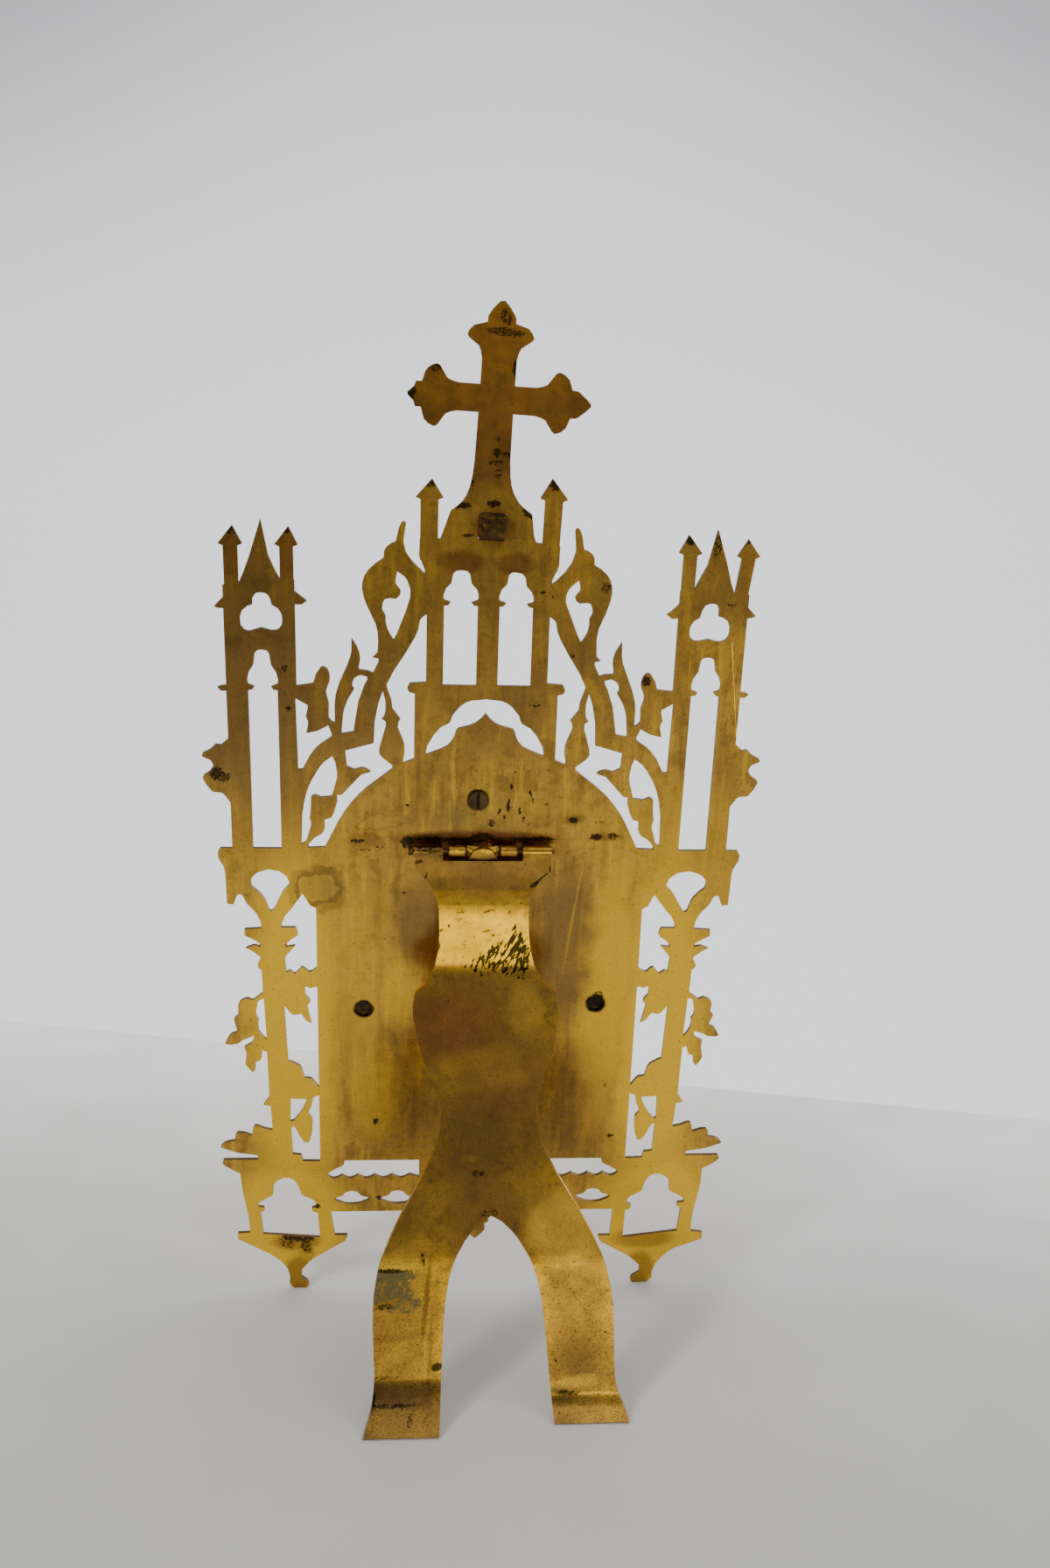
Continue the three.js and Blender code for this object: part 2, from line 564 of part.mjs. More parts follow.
function strut(belowTable) {
  const right = drawn(...STRUT_EDGE);
  const skew = Math.tan(radians(STRUT_SKEW));
  const outline = [...right, ...mirrored(right).slice(1)].map(
    ({ x, y }) => new THREE.Vector2(x + (PIN_U - y) * skew, y),
  );
  const bands = union([
    bentSheet([...STRUT_BENDS, ...LEFT_FOOT_BENDS], -60, 6),
    bentSheet([...STRUT_BENDS, ...RIGHT_FOOT_BENDS], 4, 60),
  ]);
  const knuckles = [-1, 1].map((side) => {
    const ends = [side * KNUCKLE_FROM, side * KNUCKLE_TO].sort((a, b) => a - b);
    return barAlongA(KNUCKLE_RADIUS, ...ends);
  });
  const notch = sawn(rectangle(-KNUCKLE_FROM, 160.6, KNUCKLE_FROM, PIN_U + 5), 0, 10);
  const bore = barAlongA(PIN_RADIUS + GAP, -KNUCKLE_TO - 5, KNUCKLE_TO + 5);
  return union([bands.intersect(sawn(outline, 0, 100)).subtract(notch), ...knuckles])
    .subtract(bore)
    .subtract(belowTable);
}

// The middle knuckle of the hinge and the rounded boss that carries it on the plate.
function hingeLug() {
  const right = drawn(line([0, -2.2], [4.4, -2.2], [3.6, -0.6]), curve([2.9, 0.7], [1.6, 1.5], [0, 1.8]));
  const boss = sawn(moved([...right, ...mirrored(right).slice(1, -1)], 0, PIN_U), GAP, PIN_N + 2.6);
  return union([boss, barAlongA(KNUCKLE_RADIUS, -LUG_HALF, LUG_HALF)]).subtract(
    barAlongA(PIN_RADIUS + GAP, -LUG_HALF - 5, LUG_HALF + 5),
  );
}

// The pin is burred over into a lump at its left end.
function hingePin() {
  const end = KNUCKLE_TO + GAP;
  const proud = 0.8;
  const lump = { radius: 1.3, length: 1.3 };
  return union([
    barAlongA(PIN_RADIUS, -end - proud, end + proud),
    barAlongA(lump.radius, -end - lump.length, -end),
  ]);
}

function topScrew() {
  const { at, shank, head, height, slot } = TOP_SCREW;
  const top = GAP + height;
  const cut = sawn(moved(rectangle(-slot, -head - 1, slot, head + 1), ...at), top - height / 2, top + 1);
  const joined = GAP + height / 4;
  return union([barAlongN(head, at, GAP, top, 24), barAlongN(shank, at, -SCREW_DEPTH, joined)]).subtract(cut);
}

const sideScrew = (at) => barAlongN(SIDE_SCREW_RADIUS, at, -SCREW_DEPTH, -SIDE_SCREW_SUNK);

// The arched frame on the front: a moulding carried round a square-footed arch. Each profile point is
// a distance outwards from the middle line and a height off the plate.
function frontFrame() {
  const profile = [
    [-1, 0], [-1, 0.3], [-0.7, 0.36], [-0.4, 0.88], [0, 1], [0.4, 0.88], [0.7, 0.36], [1, 0.3], [1, 0],
  ].map(([across, high]) => [across * FRAME_HALF_WIDTH, high * FRAME_DEPTH]);
  const archSteps = 24;
  const archAt = (offset) => {
    const radius = FRAME_RADIUS + offset;
    const bottom = FRAME_BOTTOM - offset;
    const head = Array.from({ length: archSteps + 1 }, (_, i) => {
      const angle = (Math.PI * i) / archSteps;
      return [radius * Math.cos(angle), FRAME_CENTRE + radius * Math.sin(angle)];
    });
    return [[-radius, bottom], [radius, bottom], ...head];
  };
  const rings = profile.map(([offset, height]) =>
    archAt(offset).map(([a, u]) => [a, u, -SHEET - GAP - height]),
  );
  const around = rings[0].length;
  const vertex = (ring, step) => (ring % rings.length) * around + (step % around);
  const faces = rings.flatMap((ring, i) =>
    ring.flatMap((_, j) => [
      vertex(i, j), vertex(i + 1, j + 1), vertex(i + 1, j),
      vertex(i, j), vertex(i, j + 1), vertex(i + 1, j + 1),
    ]),
  );
  const geometry = new THREE.BufferGeometry()
    .setAttribute("position", new THREE.Float32BufferAttribute(rings.flat(2), 3))
    .setIndex(faces);
  const holes = union([
    barAlongN(TOP_SCREW.shank + GAP, TOP_SCREW.at, -SCREW_DEPTH - GAP, 0),
    ...Object.values(SIDE_SCREWS).map((at) => barAlongN(SIDE_SCREW_RADIUS + GAP, at, -SCREW_DEPTH - GAP, 0)),
  ]);
  return solid(geometry).subtract(holes);
}

// The four-lobed boss on the front of the cross foot, whose square shank shows at the back.
function crossBoss() {
  const front = -SHEET - GAP;
  const lobeCentres = [[3.2, 0], [-3.2, 0], [0, 3.2], [0, -3.2]];
  const lobes = lobeCentres.map((at) => barAlongN(3.5, at, front - 1.6, front));
  const dome = new THREE.LatheGeometry(
    drawn(line([0, 0], [3.4, 0], [2.9, 1.2], [1.6, 2.2], [0, 2.6])),
    ROUND_SIDES,
  );
  const shank = sawn(square(SHANK_HALF), front - 0.2, GAP);
  const [a, u] = BOSS_CENTRE;
  return union([...lobes, shank, solid(dome.rotateX(-Math.PI / 2).translate(0, 0, front - 1.2))])
    .rotate([0, 0, -CROSS_BEND])
    .translate([a, u, 0]);
}

// Assembly

const brass = new THREE.MeshStandardMaterial({ color: 0xb98f3c, roughness: 0.38, metalness: 1 });
const goldenBrass = new THREE.MeshStandardMaterial({ color: 0xc69a45, roughness: 0.32, metalness: 1 });
const darkBrass = new THREE.MeshStandardMaterial({ color: 0x6d5632, roughness: 0.55, metalness: 0.9 });
const darkIron = new THREE.MeshStandardMaterial({ color: 0x2b241d, roughness: 0.7, metalness: 0.8 });

function piece(name, shape, material) {
  const { vertProperties, triVerts } = shape.getMesh();
  const geometry = new THREE.BufferGeometry()
    .setAttribute("position", new THREE.BufferAttribute(vertProperties, 3))
    .setIndex(new THREE.BufferAttribute(triVerts, 1));
  geometry.computeVertexNormals();
  const mesh = new THREE.Mesh(geometry, material);
  mesh.name = name;
  return mesh;
}

// The plate stands on edge with its back to +Y, and leans back over the strut.
const altarpiece = new THREE.Group();
const placed = new THREE.Group();
const leaning = new THREE.Group();
const upright = new THREE.Group();
altarpiece.add(placed);
placed.add(leaning);
leaning.add(upright);
leaning.rotation.x = -radians(LEAN);
upright.rotation.set(Math.PI / 2, 0, Math.PI, "ZYX");
altarpiece.updateMatrixWorld(true);

// What would reach below the table top is filed off flat.
const tableDepth = 60;
const belowTable = solid(
  new THREE.BoxGeometry(400, 400, tableDepth)
    .translate(0, 0, -tableDepth / 2)
    .applyMatrix4(upright.matrixWorld.clone().invert()),
);

upright.add(
  piece("back_plate", backPlate(belowTable), brass),
  piece("strut", strut(belowTable), goldenBrass),
  piece("hinge_lug", hingeLug(), brass),
  piece("hinge_pin", hingePin(), darkBrass),
  piece("top_screw", topScrew(), brass),
  ...Object.entries(SIDE_SCREWS).map(([name, at]) => piece(name, sideScrew(at), darkIron)),
  piece("front_frame", frontFrame(), goldenBrass),
  piece("cross_boss", crossBoss(), darkBrass),
);

const bounds = new THREE.Box3().setFromObject(altarpiece, true);
const middle = bounds.getCenter(new THREE.Vector3());
placed.position.set(-middle.x, -middle.y, 0);

export default altarpiece;
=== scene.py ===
import math

import bmesh
import bpy
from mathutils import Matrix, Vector, noise


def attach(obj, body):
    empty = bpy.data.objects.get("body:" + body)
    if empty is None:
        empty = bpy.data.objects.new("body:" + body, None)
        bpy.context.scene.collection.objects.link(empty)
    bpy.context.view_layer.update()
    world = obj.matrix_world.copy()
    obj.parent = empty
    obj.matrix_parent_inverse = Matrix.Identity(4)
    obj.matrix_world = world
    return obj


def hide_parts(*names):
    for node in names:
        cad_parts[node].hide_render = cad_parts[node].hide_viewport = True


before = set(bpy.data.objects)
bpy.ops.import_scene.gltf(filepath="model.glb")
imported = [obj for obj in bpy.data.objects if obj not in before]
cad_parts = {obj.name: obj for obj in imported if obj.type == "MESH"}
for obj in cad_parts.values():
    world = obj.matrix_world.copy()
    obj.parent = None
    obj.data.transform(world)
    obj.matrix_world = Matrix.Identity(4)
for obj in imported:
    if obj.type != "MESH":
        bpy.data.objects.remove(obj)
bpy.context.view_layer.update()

# The plate's own directions: a runs right as seen from behind, u runs up the plate, n runs out of its back.
LEAN = math.radians(11)
SINE, COSINE = math.sin(LEAN), math.cos(LEAN)
ORIGIN_Y_MM = -42.508
SHEET_MM = 1.2
MM_IN_METRE = 1000
OUT = Vector((0, COSINE, -SINE))


def at(a, u, n):
    """World point, in metres, of a drawing point in millimetres."""
    return Vector((-a, SINE * u + COSINE * n + ORIGIN_Y_MM, COSINE * u - SINE * n)) / MM_IN_METRE


def drawn_from(point):
    """Drawing point (a, u, n), in millimetres, of a world point in metres."""
    x, y, z = (MM_IN_METRE * value for value in point)
    y -= ORIGIN_Y_MM
    return Vector((-x, SINE * y + COSINE * z, COSINE * y - SINE * z))


# Camera, where the photographer stood behind the object

camera = bpy.data.objects.new("camera", bpy.data.cameras.new("camera"))
bpy.context.collection.objects.link(camera)
camera.location = (0.0208553, 0.4226473, 0.2545478)
camera.rotation_euler = [math.radians(degrees) for degrees in (80.16923, -1.25184, 175.82183)]
camera.data.lens = 33.75
camera.data.sensor_width = 36
camera.data.clip_start = 0.01
bpy.context.scene.camera = camera


# Materials

SPOTS_AT_ONCE = 5

# The colour sockets of Blender's Mix node, which has others for numbers and vectors
MIX_FIRST, MIX_SECOND, MIX_RESULT = 6, 7, 2

# How the noise and the share add up in a stain
STAIN_PATCHES, STAIN_SHARE, STAIN_SHIFT = 2.4, 1.2, -1.17

# The rolling lines of the sheet lean by this many degrees
ROLLED_TURN = 1.5


class Nodes:
    """A node tree and short ways to add to it. A value is a number, a tuple or another node's socket."""

    def __init__(self, tree):
        self.nodes = tree.nodes
        self.links = tree.links

    def put(self, value, socket):
        if isinstance(value, bpy.types.NodeSocket):
            self.links.new(value, socket)
        elif value is not None:
            socket.default_value = value

    def math(self, operation, *values):
        node = self.nodes.new("ShaderNodeMath")
        node.operation = operation
        for value, socket in zip(values, node.inputs):
            self.put(value, socket)
        return node.outputs[0]

    def vector(self, operation, *values):
        node = self.nodes.new("ShaderNodeVectorMath")
        node.operation = operation
        for value, socket in zip(values, node.inputs):
            self.put(value, socket)
        return node.outputs["Value" if operation == "LENGTH" else "Vector"]

    def scaled(self, vector, factor):
        return self.vector("SCALE", vector, None, None, factor)

    def split(self, vector):
        node = self.nodes.new("ShaderNodeSeparateXYZ")
        self.put(vector, node.inputs[0])
        return node.outputs

    def ramp(self, value, low, high, to_low=0.0, to_high=1.0):
        """A smooth step from to_low, where the value is low, to to_high, where it is high."""
        node = self.nodes.new("ShaderNodeMapRange")
        node.interpolation_type = "SMOOTHSTEP"
        for each, socket in zip((value, low, high, to_low, to_high), node.inputs):
            self.put(each, socket)
        return node.outputs[0]

    def mix(self, share, first, second):
        """The first colour where the share is 0, and the second where it is 1."""
        node = self.nodes.new("ShaderNodeMix")
        node.data_type = "RGBA"
        self.put(share, node.inputs[0])
        self.put(first, node.inputs[MIX_FIRST])
        self.put(second, node.inputs[MIX_SECOND])
        return node.outputs[MIX_RESULT]


class Finish(Nodes):
    """The nodes of a new material."""

    def __init__(self, name):
        self.material = bpy.data.materials.new(name)
        self.material.use_nodes = True
        super().__init__(self.material.node_tree)
        self.shader = self.nodes["Principled BSDF"]
        self.millimetres = None

    def metres(self):
        """The object's own coordinates, in metres."""
        return self.nodes.new("ShaderNodeTexCoord").outputs["Object"]

    def plate(self):
        """Coordinates (a, u, n) in millimetres, in the rest pose."""
        if self.millimetres is None:
            metres = self.metres()
            swapped = self.vector("CROSS_PRODUCT", metres, (1, 0, 0))
            rise, lean = MM_IN_METRE * COSINE, MM_IN_METRE * SINE
            start = (0, -SINE * ORIGIN_Y_MM, -COSINE * ORIGIN_Y_MM)
            straight = self.vector("MULTIPLY_ADD", metres, (-MM_IN_METRE, lean, -lean), start)
            self.millimetres = self.vector("MULTIPLY_ADD", swapped, (0, rise, -rise), straight)
        return self.millimetres

    def turned(self, where, scale, degrees, offset):
        """Coordinates scaled, turned on the plate, then moved. It renders faster than a Mapping node."""
        cosine, sine = math.cos(math.radians(degrees)), math.sin(math.radians(degrees))
        wide, high, deep = scale
        straight = self.vector("MULTIPLY_ADD", where, (wide * cosine, high * cosine, deep), offset)
        if degrees == 0:
            return straight
        aside = self.vector("CROSS_PRODUCT", where, (0, 0, 1))
        return self.vector("MULTIPLY_ADD", aside, (-high * sine, -wide * sine, 0), straight)

    def leaning(self, degrees):
        """The plate's coordinates turned, for marks that lean to the right."""
        return self.turned(self.plate(), (1, 1, 1), degrees, (0, 0, 0))

    def noise(self, size, detail=2.0, roughness=0.5, scale=(1, 1, 1), turn=0.0, offset=(0, 0, 0),
              colour=False, where=None):
        """Noise from 0 to 1 whose features are about size millimetres across."""
        place = self.turned(where or self.plate(), scale, turn, offset)
        grain = self.nodes.new("ShaderNodeTexNoise")
        grain.inputs["Scale"].default_value = 1 / size
        grain.inputs["Detail"].default_value = detail
        grain.inputs["Roughness"].default_value = roughness
        self.links.new(place, grain.inputs["Vector"])
        return grain.outputs["Color" if colour else 0]

    def ragged(self, size, reach):
        """The plate's coordinates shaken by up to about reach millimetres."""
        shake = self.noise(size, detail=3, roughness=0.6, offset=(7, 3, 1), colour=True)
        shake = self.vector("SUBTRACT", shake, (0.5, 0.5, 0.5))
        return self.vector("MULTIPLY_ADD", shake, (2 * reach, 2 * reach, 0), self.plate())

    def after(self, earlier, where):
        """The same coordinates, held back until an earlier value is ready."""
        return self.vector("MULTIPLY_ADD", earlier, (0, 0, 0), where)

    def bump(self, millimetres):
        """Bump from a height in millimetres."""
        node = self.nodes.new("ShaderNodeBump")
        node.inputs["Distance"].default_value = 1 / MM_IN_METRE
        self.put(millimetres, node.inputs["Height"])
        return node.outputs[0]

    def from_centre(self, where, centre, radii, turn):
        """Distance from a centre, 1 on the ellipse with these radii. It is the same at every depth n."""
        (a, u), (wide, high) = centre, radii
        cosine, sine = math.cos(math.radians(turn)), math.sin(math.radians(turn))
        shift = (-(a * cosine + u * sine) / wide, (a * sine - u * cosine) / high, 0)
        away = self.vector("MULTIPLY_ADD", where, (cosine / wide, cosine / high, 0), shift)
        if turn:
            aside = self.vector("CROSS_PRODUCT", where, (0, 0, 1))
            away = self.vector("MULTIPLY_ADD", aside, (sine / wide, sine / high, 0), away)
        return self.vector("LENGTH", away)

    def spots(self, where, rows, soft):
        """The strongest of several soft ellipses: each row is a, u, two radii, turn and strength.

        Of the rows with one strength the nearest is the strongest, so each strength needs one ramp. A
        material holds few values at once, so each group of spots is made to wait for the one before it.
        """
        total, made = None, 0
        for strength in sorted({row[-1] for row in rows}):
            nearest = None
            for a, u, wide, high, turn, _ in (row for row in rows if row[-1] == strength):
                if made and made % SPOTS_AT_ONCE == 0:
                    where = self.after(total if nearest is None else nearest, where)
                away = self.from_centre(where, (a, u), (wide, high), turn)
                nearest = away if nearest is None else self.math("MINIMUM", nearest, away)
                made += 1
            one = self.ramp(nearest, 1 + soft, 1 - soft, to_high=strength)
            total = one if total is None else self.math("MAXIMUM", total, one)
        return total

    def rings(self, where, rows, width):
        """The outlines of such ellipses, with their width as a share of the radii."""
        total = None
        for a, u, wide, high, turn, strength in rows:
            away = self.from_centre(where, (a, u), (wide, high), turn)
            away = self.math("ABSOLUTE", self.math("SUBTRACT", away, 1))
            one = self.ramp(away, width, width / 4, to_high=strength)
            total = one if total is None else self.math("MAXIMUM", total, one)
        return total

    def stained(self, share, size=0.8, offset=(0, 0, 0)):
        """A share from 0 to 1 turned into a patchy, ragged stain. A share under 0.4 hardly shows."""
        patches = self.noise(size, detail=4, roughness=0.75, offset=offset)
        lifted = self.math("MULTIPLY_ADD", share, STAIN_SHARE, STAIN_SHIFT)
        lifted = self.math("MULTIPLY_ADD", patches, STAIN_PATCHES, lifted)
        spread = self.ramp(lifted, 0.36, 0.80)
        strength = self.ramp(share, 0.05, 0.35, to_high=0.95)
        return self.math("MULTIPLY", spread, strength)

    def finish(self, **sockets):
        """The material, with these values on its shader's sockets."""
        for name, value in sockets.items():
            self.put(value, self.shader.inputs[name.replace("_", " ")])
        return self.material


BRIGHT = (1.0, 0.61, 0.045, 1)
POLISHED_HIGHLIGHT = (1.0, 0.58, 0.005, 1)
PALE_LIT_BRASS = (1.0, 0.61, 0.09, 1)
GOLD = (0.66, 0.385, 0.064, 1)
BROWN_GOLD = (0.48, 0.275, 0.056, 1)
BROWN = (0.255, 0.143, 0.056, 1)
RED_BROWN = (0.42, 0.185, 0.055, 1)
HEAT_AND_SHADE_BROWN = (0.22, 0.095, 0.032, 1)
DULL = (0.22, 0.125, 0.042, 1)
GREENISH = (0.30, 0.22, 0.065, 1)
TARNISH = (0.10, 0.090, 0.090, 1)
SMOKE = (0.10, 0.062, 0.034, 1)
GRIT = (0.06, 0.038, 0.02, 1)
PAINTED_SHADE = (0.035, 0.032, 0.030, 1)
DIRT = (0.030, 0.021, 0.013, 1)


def brass(name, gold=GOLD, brown=BROWN_GOLD, rough=0.27, marks=None, speckle=1.0, wave=0.4, grain=0.005,
          streaks=0.0, cloud=0.0):
    """Old sheet brass: cloudy gold and brown, fine dark speckle, rolling lines and shallow waves.

    Speckle, streaks and cloud are shares from 0 to 1. Wave and grain are heights in millimetres.
    """
    look = Finish(name)
    broad = look.noise(size=26, detail=3, roughness=0.55)
    middle = look.noise(size=6, detail=3, roughness=0.62, offset=(31, 5, 2))
    fine = look.noise(size=0.9, detail=3, roughness=0.66, offset=(3, 70, 9))
    lines = look.noise(size=0.45, detail=2, roughness=0.6, scale=(1, 0.05, 1), turn=ROLLED_TURN)
    colour = look.mix(look.ramp(broad, 0.38, 0.64), gold, brown)
    colour = look.mix(look.ramp(middle, 0.49, 0.66, to_high=0.5), colour, DULL)
    if cloud:
        small = look.noise(size=2.2, detail=4, roughness=0.7, offset=(12, 1, 6))
        colour = look.mix(look.ramp(small, 0.50, 0.66, to_high=cloud), colour, BROWN)
    if streaks:
        drawn = look.noise(size=2.6, detail=3, roughness=0.6, scale=(1, 0.11, 1), turn=ROLLED_TURN,
                           offset=(9, 2, 0))
        colour = look.mix(look.ramp(drawn, 0.50, 0.66, to_high=streaks), colour, DULL)
        colour = look.mix(look.ramp(drawn, 0.46, 0.32, to_high=streaks), colour, BRIGHT)
    if marks:
        colour = marks(look, colour)
    speck = look.ramp(fine, 0.61, 0.68, to_high=speckle)
    speck = look.math("MULTIPLY", speck, look.ramp(middle, 0.38, 0.62, to_low=0.25, to_high=0.8))
    colour = look.mix(speck, colour, DIRT)
    shine = look.ramp(middle, 0.3, 0.7, to_low=rough - 0.03, to_high=rough + 0.06)
    shine = look.math("MULTIPLY_ADD", speck, 0.25, shine)
    height = look.math("MULTIPLY", lines, 0.8 * grain)
    height = look.math("MULTIPLY_ADD", fine, grain, height)
    height = look.math("MULTIPLY_ADD", broad, wave, height)
    return look.finish(Base_Color=colour, Metallic=1.0, Roughness=shine, Normal=look.bump(height))


# Marks on the plate, in plate millimetres: a, u, two radii, turn in degrees and strength

# Paler brass and painted light: the side columns and patches beside the strut are painted brighter where
# light falls and reflects
PALE_AND_LIT_ZONES = (
    (-58, 98, 14, 66, 0, 1.0), (58, 98, 14, 66, 0, 1.0), (-61, 26, 19, 26, 0, 1.2),
    (61, 26, 20, 26, 0, 1.2), (41, 112, 8, 46, -2, 0.8), (-39, 118, 8, 36, 0, 0.4),
    (-33, 76, 8, 16, 0, 0.5), (-25, 114, 6, 11, 0, 0.55), (60, 160, 22, 22, 0, 0.35),
    (-60, 160, 22, 18, 0, 0.25),
)
# Brown tarnish, with painted shade beside the strut's neck for its shadow and dark reflection
BROWN_AND_SHADED_ZONES = (
    (-18, 138, 8, 15, 0, 0.65), (25, 128, 9, 26, -3, 0.7), (0, 66, 30, 14, 0, 0.25),
    (32, 68, 12, 24, 0, 0.4), (0, 298, 40, 34, 0, 0.92), (-65, 222, 22, 52, 0, 0.8),
    (0, 226, 34, 30, 0, 0.42), (0, 262, 20, 20, 0, 0.5), (-40, 212, 22, 30, 0, 0.6),
    (36, 226, 14, 30, 0, 0.5), (66, 250, 20, 16, 0, 0.5),
)
# Heat-browned zones, with painted shade in the first two rows, just above and below the hinge
HEATED_AND_SHADED = (
    (-1, 165.2, 24.5, 2.8, 0, 1.0), (0, 161.5, 23, 3.0, 0, 0.7), (-58.5, 18.8, 8, 3.4, 0, 0.6),
    (2, 300, 34, 28, 0, 0.72), (58, 18.5, 10, 4.0, 0, 0.55), (-57.6, 6, 5, 7, 0, 0.65),
    (57.6, 6, 5, 7, 0, 0.6), (-55.5, 13, 3, 6, 0, 0.4), (-35.5, 164.5, 5.0, 2.6, 0, 0.5),
    (0, 27, 6, 5, 0, 0.5), (37.5, 166.2, 5.5, 1.4, 0, 0.5), (27.2, 171.7, 2.6, 1.6, 0, 0.5),
    (-50, 149, 5, 4.6, 0, 0.22), (-7.9, 249.6, 6.2, 3.4, 0, 0.8), (7.1, 249.2, 5.2, 3.2, 0, 0.75),
    (0.8, 260, 5.6, 5.6, 0, 0.75), (16, 293, 7, 4, 0, 0.6), (24, 292.5, 5, 4, 0, 0.7),
    (-20, 294, 4, 3.5, 0, 0.5), (3.5, 300, 4, 12, 0, 0.35), (-72, 251, 4, 6, 0, 0.5),
    (-56, 251, 4, 6, 0, 0.5), (70, 252, 6, 5, 0, 0.35),
)
# Dark stains and scratches, with a painted shadow line along the top of the hinge in the rows near u 165
DARK_MARKS_AND_SHADE = (
    (2.6, 315.8, 1.6, 2.6, 20, 0.55), (2.6, 311.8, 5.6, 1.3, -6, 0.58), (5.5, 302.3, 0.7, 2.3, 0, 0.9),
    (-15.3, 302.7, 2.4, 1.4, 30, 0.55), (-23.0, 296.2, 2.0, 2.2, 0, 0.8), (14.6, 302.5, 1.4, 1.8, 0, 0.5),
    (1.1, 280.2, 1.2, 1.3, 0, 0.75), (4.2, 279.7, 1.9, 0.7, -8, 0.6), (0.6, 277.4, 2.2, 0.6, 4, 0.55),
    (1.7, 273.8, 1.0, 0.8, 0, 0.5), (1.4, 275.4, 1.3, 0.4, 0, 0.45), (1.2, 284.3, 0.5, 1.0, 0, 0.5),
    (-5.6, 271.9, 0.8, 0.9, 0, 0.6), (0.6, 266.2, 1.9, 1.1, 0, 0.8), (-7.9, 265.5, 2.4, 0.9, 12, 0.75),
    (10.6, 263.6, 2.4, 1.1, -38, 0.75), (-6.4, 257.3, 1.9, 0.45, 8, 0.65),
    (15.3, 241.4, 0.8, 0.5, 0, 0.7), (18.1, 240.1, 0.6, 0.4, 0, 0.6), (33.4, 243.1, 1.9, 2.0, 0, 0.5),
    (24.4, 222.8, 0.8, 1.0, 0, 0.5), (70.0, 238.7, 1.4, 0.35, 0, 0.6), (14.3, 207.6, 1.7, 0.35, 0, 0.7),
    (46.6, 215.5, 1.3, 1.7, 0, 0.7), (8.2, 182.2, 0.4, 1.2, 0, 0.75), (7.5, 176.0, 0.4, 2.3, 0, 0.8),
    (4.8, 174.4, 0.4, 1.1, -8, 0.7), (10.9, 174.4, 0.5, 1.2, 0, 0.7), (14.0, 180.2, 0.4, 1.2, 6, 0.75),
    (14.6, 177.9, 0.35, 1.0, 0, 0.65), (2.5, 170.3, 1.0, 1.4, 0, 0.6), (18.6, 176.7, 0.9, 0.6, 0, 0.5),
    (12.1, 171.7, 0.4, 0.9, 0, 0.65), (13.6, 170.3, 0.4, 0.8, 0, 0.6), (6.3, 172.4, 0.4, 0.9, 0, 0.6),
    (9.4, 187.0, 0.5, 0.3, 0, 0.7), (27.2, 171.7, 1.5, 1.0, -10, 0.85), (34.6, 166.1, 1.9, 1.3, 0, 0.68),
    (39.5, 166.5, 1.6, 1.2, 0, 0.58), (35.5, 171.0, 2.4, 0.3, 10, 0.5), (-22.6, 176.0, 0.5, 0.4, 0, 0.6),
    (-37.5, 164.4, 2.6, 0.7, 4, 0.6), (-35.6, 161.6, 2.9, 0.4, 0, 0.5),
    (-31.0, 162.4, 2.2, 0.35, 0, 0.45), (-23.4, 147.5, 0.6, 0.5, 0, 0.7), (-32.1, 65.7, 1.0, 1.2, 0, 0.7),
    (44.7, 59.5, 1.4, 0.8, 0, 0.55), (42.0, 78.7, 0.4, 1.0, 0, 0.5), (-58.1, 20.3, 6.0, 1.5, -4, 0.7),
    (-55.3, 17.2, 2.0, 3.6, 10, 0.55), (-61.5, 18.2, 3.0, 2.0, -20, 0.47), (57, 20.6, 6.0, 0.9, 0, 0.45),
    (-31.0, 36.1, 0.9, 0.9, 0, 0.7), (-51.4, 33.1, 1.0, 1.0, 0, 0.7), (-78.4, 185.6, 2.0, 2.2, 0, 0.7),
    (-76.6, 184.6, 2.6, 1.7, 0, 0.58), (-57.0, 206.0, 0.9, 1.1, 0, 0.6), (-58.0, 218.0, 0.8, 1.2, 0, 0.6),
    (37.9, 112.2, 1.8, 1.2, 0, 0.6), (-8, 165.2, 15, 0.7, 0, 0.7), (-22.5, 164.0, 2.4, 2.2, 0, 0.7),
    (0, 166.0, 4.0, 1.4, 0, 0.75), (15, 165.4, 7, 0.8, 0, 0.75), (-17.2, 273.2, 2.6, 3.0, 0, 0.6),
    (17.8, 273.0, 2.6, 3.2, 0, 0.65), (-72.2, 259.0, 2.6, 3.2, 0, 0.65), (-56.8, 259.2, 2.4, 3.0, 0, 0.6),
    (56.8, 259.2, 2.6, 3.4, 0, 0.8), (72.2, 259.0, 2.6, 3.2, 0, 0.7), (64.3, 258.0, 1.8, 7.0, 0, 0.5),
    (0.4, 11, 2.0, 3.0, 0, 0.5), (0.2, 26.5, 2.6, 1.6, 0, 0.5),
)
# Grime, with painted shade, round the top screw's head and in the side screws' holes
SCREW_GRIME_AND_SHADE = (
    (-1.6, 177.9, 3.4, 3.4, 0, 0.9), (-35.9, 107.2, 3.1, 3.1, 0, 1.2), (37.2, 108.9, 3.2, 3.2, 0, 1.2),
)
OUTLINES = (
    (-49.7, 148.9, 6.3, 5.8, 0, 0.7), (-49.9, 148.2, 7.8, 7.0, 0, 0.35),
    (-30.0, 170.2, 8.0, 2.2, 4, 0.35), (70.3, 202.6, 2.0, 1.8, 0, 0.5),
)
PALE_LINES = (
    (28.8, 141.0, 0.4, 20.0, -7.2, 0.3), (-16.3, 247.2, 1.6, 3.0, 0, 0.15),
    (31.4, 211.9, 1.6, 5.0, 30, 0.25), (-29.0, 137.0, 2.4, 15.0, 0, 0.25),
    (13.0, 176.0, 4.0, 5.0, 0, 0.15),
)
